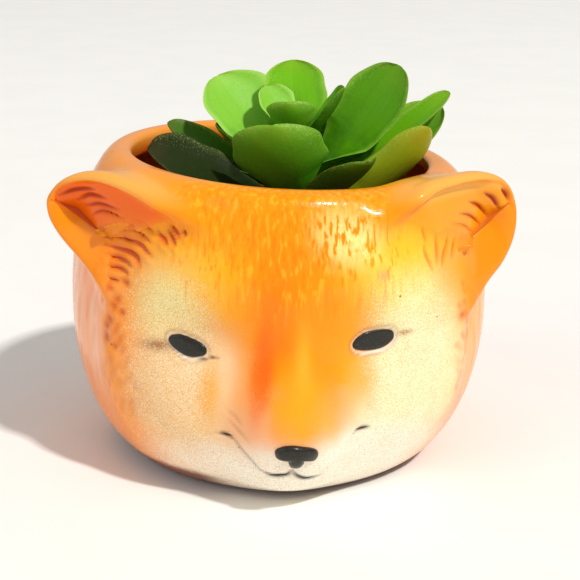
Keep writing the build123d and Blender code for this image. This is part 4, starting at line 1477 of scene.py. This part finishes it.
@dataclass
class Succulent:
    """The artificial succulent: a moulded stem on a wire, and its leaves, all of one rule."""

    thickness: float = 2.0
    cup: float = 0.30
    waist: float = 0.20
    widest: float = 0.62
    twisted_by: float = 0.4
    start: float = 1.0
    ruffle: float = 0.035
    ruffles: float = 19.0
    line_width: float = 0.10
    midrib: float = 0.10
    lip: float = 0.16
    lip_place: float = 0.86
    sway: float = 0.22
    weld: float = 0.02
    around: int = 57
    steps: int = 64
    bumps: int = 5

    def leaf_skin(self, along: Field, side: Field, over: Field, width: Field,
                  wave: Field) -> tuple[Field, Field]:
        """The leaf's section at each point of its skin.

        Args:
            along: The share of the way from the root to the tip.
            side: The place from edge to edge, from one to minus one.
            over: Above nought on the upper side, below it on the lower one.
            width: The leaf's greatest width.
            wave: Where its ruffle starts.

        Returns:
            Half of the leaf's width there, and the skin's height over the leaf's middle line.
        """
        before = (along / self.widest).at_most(1.0) * (pi / 2)
        beyond = (along - self.widest).at_least(0.0) / (1.0 - self.widest)
        rising = self.waist + (1.0 - self.waist) * before.sin() ** 1.4
        falling = (1.0 - beyond**2.4).at_least(0.0) ** 0.5
        opening = (along / 0.03).at_most(1.0) ** 0.5
        ruffle = 1.0 + self.ruffle * (along * self.ruffles + wave).sin() * (along * 2.0).at_most(1.0)
        half = width * 0.5 * rising * falling * opening * ruffle
        thick = self.thickness * (1.0 - 0.6 * along * along) * opening * (falling.at_most(1.0) ** 0.5)
        lower = over.below(0.0)
        off_rib, off_lip = side / self.line_width, (side.size() - self.lip_place) / self.line_width
        midrib = (off_rib * off_rib * -1.0).exp() * self.midrib * (along * 3.0).at_most(1.0) * falling
        lip = (off_lip * off_lip * -1.0).exp() * self.lip * falling
        sway = self.sway * (along * 8.0 + wave * 1.7 + side * 1.4).sin() * side * side * along
        up = half * self.cup * side * side - lower * thick * (over.size() ** 1.15) + sway
        return half, up + (1.0 - lower) * (lip - midrib)

    def leaf_place(self, shop: NodeShop, along: Field, right: Field, up: Field) -> bpy.types.Node:
        """Where each point of the skin comes to lie.

        Args:
            shop: The leaf's tree, with its sizes.
            along: The share of the way from the root to the tip.
            right: The point's distance to the right of the leaf's middle line.
            up: Its height over the middle line.

        Returns:
            The node of the point's place, in metres.
        """
        turn, root, lift, bend, twist, length = (shop.given(label) for label in LEAF_SIZES[:6])
        slope = lift + bend * along
        out = length / bend * (slope.sin() - lift.sin())
        rise = length / bend * (lift.cos() - slope.cos())
        taper = (root - CROWN_BOTTOM) / (CROWN_TOP - CROWN_BOTTOM)
        reach = CROWN_RADIUS + (CROWN_TIP_RADIUS - CROWN_RADIUS) * taper - self.start + out
        roll = twist * (along / self.twisted_by).at_most(1.0)
        aside = right * roll.cos() - up * roll.sin()
        lifted = right * roll.sin() + up * roll.cos()
        x = STEM_X + reach * turn.sin() + aside * turn.cos() - lifted * slope.sin() * turn.sin()
        y = STEM_Y - reach * turn.cos() + aside * turn.sin() + lifted * slope.sin() * turn.cos()
        z = root + rise + lifted * slope.cos()
        return shop.node("ShaderNodeCombineXYZ", X=x * MM, Y=y * MM, Z=z * MM)

    def leaf_tree(self) -> NodeShop:
        """The rule of a leaf: a tube of sections along a rising arc, a hollow side over a rounder one."""
        sizes = [(label, "NodeSocketFloat") for label in LEAF_SIZES]
        shop = NodeShop("leaf_rule", sizes + [("Material", "NodeSocketMaterial")])
        net = shop.node("GeometryNodeMeshGrid", Vertices_X=self.around, Vertices_Y=self.steps)
        apart = shop.node("ShaderNodeSeparateXYZ", Vector=shop.node("GeometryNodeInputPosition").outputs[0])
        round_share, along = (Field(shop.tree, socket) + 0.5 for socket in apart.outputs[:2])
        along = (along * 1.08 - (along * along) * 0.08).at_most(0.999)
        angle = round_share * tau
        side, over = angle.cos(), angle.sin()
        half, up = self.leaf_skin(along, side, over, shop.given("Width"), shop.given("Wave"))
        place = self.leaf_place(shop, along, half * side, up)
        shape = shop.kept(net.outputs["Mesh"], "along", along)
        shape = shop.kept(shape, "side", side)
        shape = shop.kept(shape, "upper", 1.0 - over.below(0.0))
        moved = shop.node("GeometryNodeSetPosition", Geometry=shape, Position=place.outputs[0])
        joined = shop.node("GeometryNodeMergeByDistance", Geometry=moved.outputs[0], Distance=self.weld * MM)
        shop.closes(joined.outputs[0])
        return shop

    def leaves(self) -> Iterator[bpy.types.Object]:
        """Makes each leaf by the same rule."""
        rule = self.leaf_tree()
        finishes = {leaf.finish.name: leaf.finish for leaf in LEAVES}
        greens = {name: finish.material() for name, finish in finishes.items()}
        for number, leaf in enumerate(LEAVES):
            angles = [radians(angle) for angle in (leaf.turn, leaf.lift, leaf.bend, leaf.twist)]
            values = dict(zip(("Turn", "Lift", "Bend", "Twist"), angles))
            values |= {"Root": leaf.root, "Length": float(leaf.length), "Width": float(leaf.width)}
            values |= {"Wave": number * 1.3, "Material": greens[leaf.finish.name]}
            piece = rule.run(f"succulent_{leaf.name}", bpy.data.meshes.new("leaf_start"), values)
            work = bmesh.new()
            work.from_mesh(piece.data)
            bmesh.ops.recalc_face_normals(work, faces=work.faces)
            work.to_mesh(piece.data)
            work.free()
            settle(piece, Body.SUCCULENT, Slot.LEAF_GREEN, greens[leaf.finish.name], leaf.name)
            yield piece

    def stem(self) -> bpy.types.Object:
        """Makes the stem: a pointed pick, a collar, and a crown with the rings of its leaf bases."""
        profile = [(0.4, PICK_BOTTOM), (PICK_RADIUS * 0.55, PICK_BOTTOM + 1.6)]
        profile += [(PICK_RADIUS, PICK_BOTTOM + PICK_POINT), (PICK_RADIUS, CROWN_BOTTOM - 0.6)]
        profile += [(PICK_RADIUS, CROWN_BOTTOM), (CROWN_RADIUS - 0.5, CROWN_BOTTOM)]
        rings = 26
        for number in range(rings + 1):
            share = number / rings
            body = CROWN_RADIUS + (CROWN_TIP_RADIUS - CROWN_RADIUS) * share
            height = CROWN_BOTTOM + 0.3 + (CROWN_TOP - CROWN_BOTTOM - 0.6) * share
            profile.append((body - 0.22 * (number % 2), height))
        profile.append((0.5, CROWN_TOP))
        angles = np.linspace(0.0, tau, 48, endpoint=False)
        rings_of_points = []
        for radius, z in profile:
            lumps = 1.0 - 0.05 * (z > CROWN_BOTTOM) * (1 + np.sin(self.bumps * angles + z * 1.1)) / 2
            x, y = STEM_X + radius * lumps * np.sin(angles), STEM_Y - radius * lumps * np.cos(angles)
            rings_of_points.append(np.column_stack([x, y, np.full(angles.shape, z)]))
        points, faces = closed_skin(np.array(rings_of_points))
        piece = new_piece("succulent_stem", points, faces, {})
        settle(piece, Body.SUCCULENT, Slot.STEM_GREEN, stem_finish(), "stem")
        return piece


@dataclass
class Filling:
    """The bed of grit on the foam, with loose stones and a hole for the stem."""

    stone: float = 1.5
    stones_per_area: float = 230000.0
    stone_seed: int = 5
    columns: int = 160
    keep_clear: float = 6.6
    waviness: float = 0.22

    def bed_ring(self, share: float, z: float) -> np.ndarray:
        """A ring of the bed between the hole and the wall."""
        turns = np.linspace(0.0, tau, self.columns, endpoint=False)
        angles = np.where(turns > pi, turns - tau, turns)
        wall = around_axis(turns, HOLLOW.radius(angles, z) - FILL_GAP, z)
        hole_x, hole_y = STEM_X + SOCKET_RADIUS * np.sin(turns), STEM_Y - SOCKET_RADIUS * np.cos(turns)
        hole = np.column_stack([hole_x, hole_y, np.full(turns.shape, z)])
        return hole + share * (wall - hole)

    def bed(self) -> tuple[np.ndarray, list[list[int]]]:
        """The bed itself, a thick ring with a rough top."""
        shares = np.concatenate([[0.0, 0.02], np.linspace(0.06, 0.98, 40), [1.0]])
        top = [self.bed_ring(share, GRIT_TOP - 0.5) for share in shares]
        for share, ring in zip(shares, top):
            x, y = ring[:, 0], ring[:, 1]
            waves = np.sin(x * 0.9 + 1.0) * np.sin(y * 1.1) + np.sin(x * 2.1 + y * 1.7)
            ring[:, 2] += self.waviness * waves * min(1.0, share * 12.0)
        rings = np.array(top + [self.bed_ring(1.0, FOAM_TOP), self.bed_ring(0.0, FOAM_TOP)])
        count, size, _ = rings.shape
        here = np.arange(count * size).reshape(count, size)
        ahead, beside = np.roll(here, -1, axis=0), np.roll(here, -1, axis=1)
        faces = np.stack([here, beside, np.roll(beside, -1, axis=0), ahead], axis=-1).reshape(-1, 4)
        return rings.reshape(-1, 3), faces.tolist()

    def stone_tree(self) -> NodeShop:
        """The rule of the stones: one on each scattered point, turned and sized by chance."""
        inputs = [("Size", "NodeSocketFloat"), ("Density", "NodeSocketFloat"), ("Clear", "NodeSocketFloat")]
        shop = NodeShop("grit_rule", inputs + [("Material", "NodeSocketMaterial")])
        apart = shop.node("ShaderNodeSeparateXYZ", Vector=shop.node("GeometryNodeInputPosition").outputs[0])
        x, y, z = (Field(shop.tree, socket) for socket in apart.outputs)
        across, deep = x - STEM_X * MM, y - STEM_Y * MM
        off_stem = (across * across + deep * deep) ** 0.5
        off_axis = (x * x + (y - AXIS_Y * MM) * (y - AXIS_Y * MM)) ** 0.5
        wanted = (1.0 - off_stem.below(shop.given("Clear"))) * off_axis.below((HOLLOW_RADIUS - 6.0) * MM)
        wanted = wanted * (1.0 - z.below((GRIT_TOP - 2.0) * MM))
        scatter = shop.node("GeometryNodeDistributePointsOnFaces", Mesh=shop.group.outputs["Geometry"],
                            Density=shop.given("Density") * wanted, Seed=self.stone_seed)
        rock = shop.node("GeometryNodeMeshIcoSphere", Radius=shop.given("Size") * 0.5, Subdivisions=1)
        bevel = shop.node("GeometryNodeSubdivisionSurface", Mesh=rock.outputs[0], Level=1)
        turned = shop.node("FunctionNodeRandomValue")
        turned.data_type = "FLOAT_VECTOR"
        turned.inputs[1].default_value = (tau, tau, tau)
        sized = shop.node("FunctionNodeRandomValue")
        sized.data_type = "FLOAT_VECTOR"
        sized.inputs[0].default_value = (0.55, 0.5, 0.35)
        sized.inputs[1].default_value = (1.3, 1.1, 0.75)
        placed = shop.node("GeometryNodeInstanceOnPoints", Points=scatter.outputs["Points"],
                           Instance=bevel.outputs[0], Rotation=turned.outputs[0], Scale=sized.outputs[0])
        both = shop.node("GeometryNodeJoinGeometry")
        shop.tree.links.new(placed.outputs[0], both.inputs[0])
        shop.tree.links.new(shop.group.outputs["Geometry"], both.inputs[0])
        shop.closes(both.outputs[0])
        return shop

    def build(self) -> None:
        """Makes the bed of grit with its stones."""
        points, faces = self.bed()
        base = new_piece("bed_start", points, faces, {})
        finish = grit_finish()
        values = {"Size": self.stone * MM, "Density": self.stones_per_area, "Clear": self.keep_clear * MM}
        values["Material"] = finish
        grit = self.stone_tree().run("grit_stones", base.data, values)
        bpy.data.objects.remove(base)
        settle(grit, Body.PLANTER, Slot.GRIT, finish, "grit_bed")


def dress_node(node: str, finish: bpy.types.Material) -> None:
    """Gives a solid whose shape is right its finish."""
    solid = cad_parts[node]
    solid.data.materials.clear()
    solid.data.materials.append(finish)


@dataclass(frozen=True)
class Camera:
    """The camera at the photograph's place: around the pot's axis, above the table, tilted down."""

    distance: float = 350.0
    height: float = 156.0
    azimuth: float = radians(-3.8)
    pitch: float = radians(18.25)
    roll: float = radians(-0.6)
    aside: float = 2.9
    lens: float = 86.1

    def build(self) -> None:
        """Makes the camera the scene's own."""
        a, e = self.azimuth, self.pitch
        right = Vector((cos(a), sin(a), 0.0))
        look = Vector((-sin(a) * cos(e), cos(a) * cos(e), -sin(e)))
        up = right.cross(look)
        eye = Vector((sin(a) * self.distance, AXIS_Y - cos(a) * self.distance, self.height))
        eye += right * self.aside
        turned_right = right * cos(self.roll) - up * sin(self.roll)
        turned_up = right * sin(self.roll) + up * cos(self.roll)
        data = bpy.data.cameras.new("camera")
        data.lens = self.lens
        data.clip_start = 0.01
        camera = bpy.data.objects.new("camera", data)
        bpy.context.scene.collection.objects.link(camera)
        turn = Matrix((turned_right, turned_up, -look)).transposed().to_4x4()
        camera.matrix_world = Matrix.Translation(eye * MM) @ turn
        bpy.context.scene.camera = camera


AIM_HEIGHT = 0.045


@dataclass(frozen=True)
class Lamp:
    """A soft square lamp: where it stands, how wide it is and its power."""

    name: str
    place: tuple[float, float, float]
    size: float
    power: float
    tint: Colour = (255, 255, 255)

    def build(self) -> None:
        """Hangs the lamp, looking at the planter."""
        data = bpy.data.lights.new(self.name, "AREA")
        data.size = self.size
        data.energy = self.power
        data.color = linear(self.tint)[:3]
        lamp = bpy.data.objects.new(self.name, data)
        lamp.location = self.place
        aim = Vector((0.0, 0.0, AIM_HEIGHT)) - Vector(self.place)
        lamp.rotation_euler = aim.to_track_quat("-Z", "Y").to_euler()
        bpy.context.scene.collection.objects.link(lamp)


LAMPS = (
    Lamp("sun_lamp", (2.48, -2.95, 4.65), 0.36, 275.0, (255, 252, 247)),
    Lamp("fill_lamp", (-1.50, -0.80, 0.90), 1.40, 5.0),
)


FLOOR_HALF = 3.0
ROOM_LIGHT = 0.44


class Studio:
    """The plain pale floor, the light and the white surroundings."""

    def floor(self) -> None:
        """Lays the floor."""
        mesh = bpy.data.meshes.new("floor")
        signs = ((-1, -1), (1, -1), (1, 1), (-1, 1))
        corners = [(FLOOR_HALF * x, FLOOR_HALF * y, 0.0) for x, y in signs]
        mesh.from_pydata(corners, [], [(0, 1, 2, 3)])
        floor = bpy.data.objects.new("floor", mesh)
        bpy.context.scene.collection.objects.link(floor)
        paint = Paint("floor_white", (250, 249, 246))
        paint.lay((246, 245, 242), paint.noise(40.0, 2.0).step(0.4, 0.6) * 0.4)
        mesh.materials.append(paint.done(Roughness=0.9, Specular_IOR_Level=0.1))

    def world(self) -> None:
        """Lights the scene evenly, and shows white where the camera sees past the floor."""
        world = bpy.data.worlds.new("white_room")
        bpy.context.scene.world = world
        world.use_nodes = True
        nodes, links = world.node_tree.nodes, world.node_tree.links
        background = nodes["Background"]
        background.inputs["Color"].default_value = (1.0, 1.0, 0.99, 1.0)
        path = nodes.new("ShaderNodeLightPath")
        strength = nodes.new("ShaderNodeMapRange")
        strength.inputs["To Min"].default_value = ROOM_LIGHT
        strength.inputs["To Max"].default_value = 1.0
        links.new(path.outputs["Is Camera Ray"], strength.inputs["Value"])
        links.new(strength.outputs["Result"], background.inputs["Strength"])

    def build(self) -> None:
        """Sets up floor, lamps and surroundings."""
        self.floor()
        self.world()
        for lamp in LAMPS:
            lamp.build()
        bpy.context.scene.view_settings.view_transform = "Standard"


def main() -> None:
    """Builds the planter piece by piece."""
    logging.basicConfig(level=logging.INFO, format="%(name)s %(message)s")
    Camera().build()
    Studio().build()
    head = HeadShell().build(fox_glaze("fox_glaze"))
    ear_finish = fox_glaze("ear_glaze")
    for plan in EARS:
        Fillet().join(head, plan.build(ear_finish))
    black = black_glaze()
    for bead in BEADS:
        bead.build(black)
    Filling().build()
    dress_node("foam_plug", foam_finish())
    dress_node("stem_wire", wire_finish())
    succulent = Succulent()
    succulent.stem()
    for leaf in succulent.leaves():
        LOG.info("%s is in place", leaf.name)


if __name__ == "__main__":
    main()
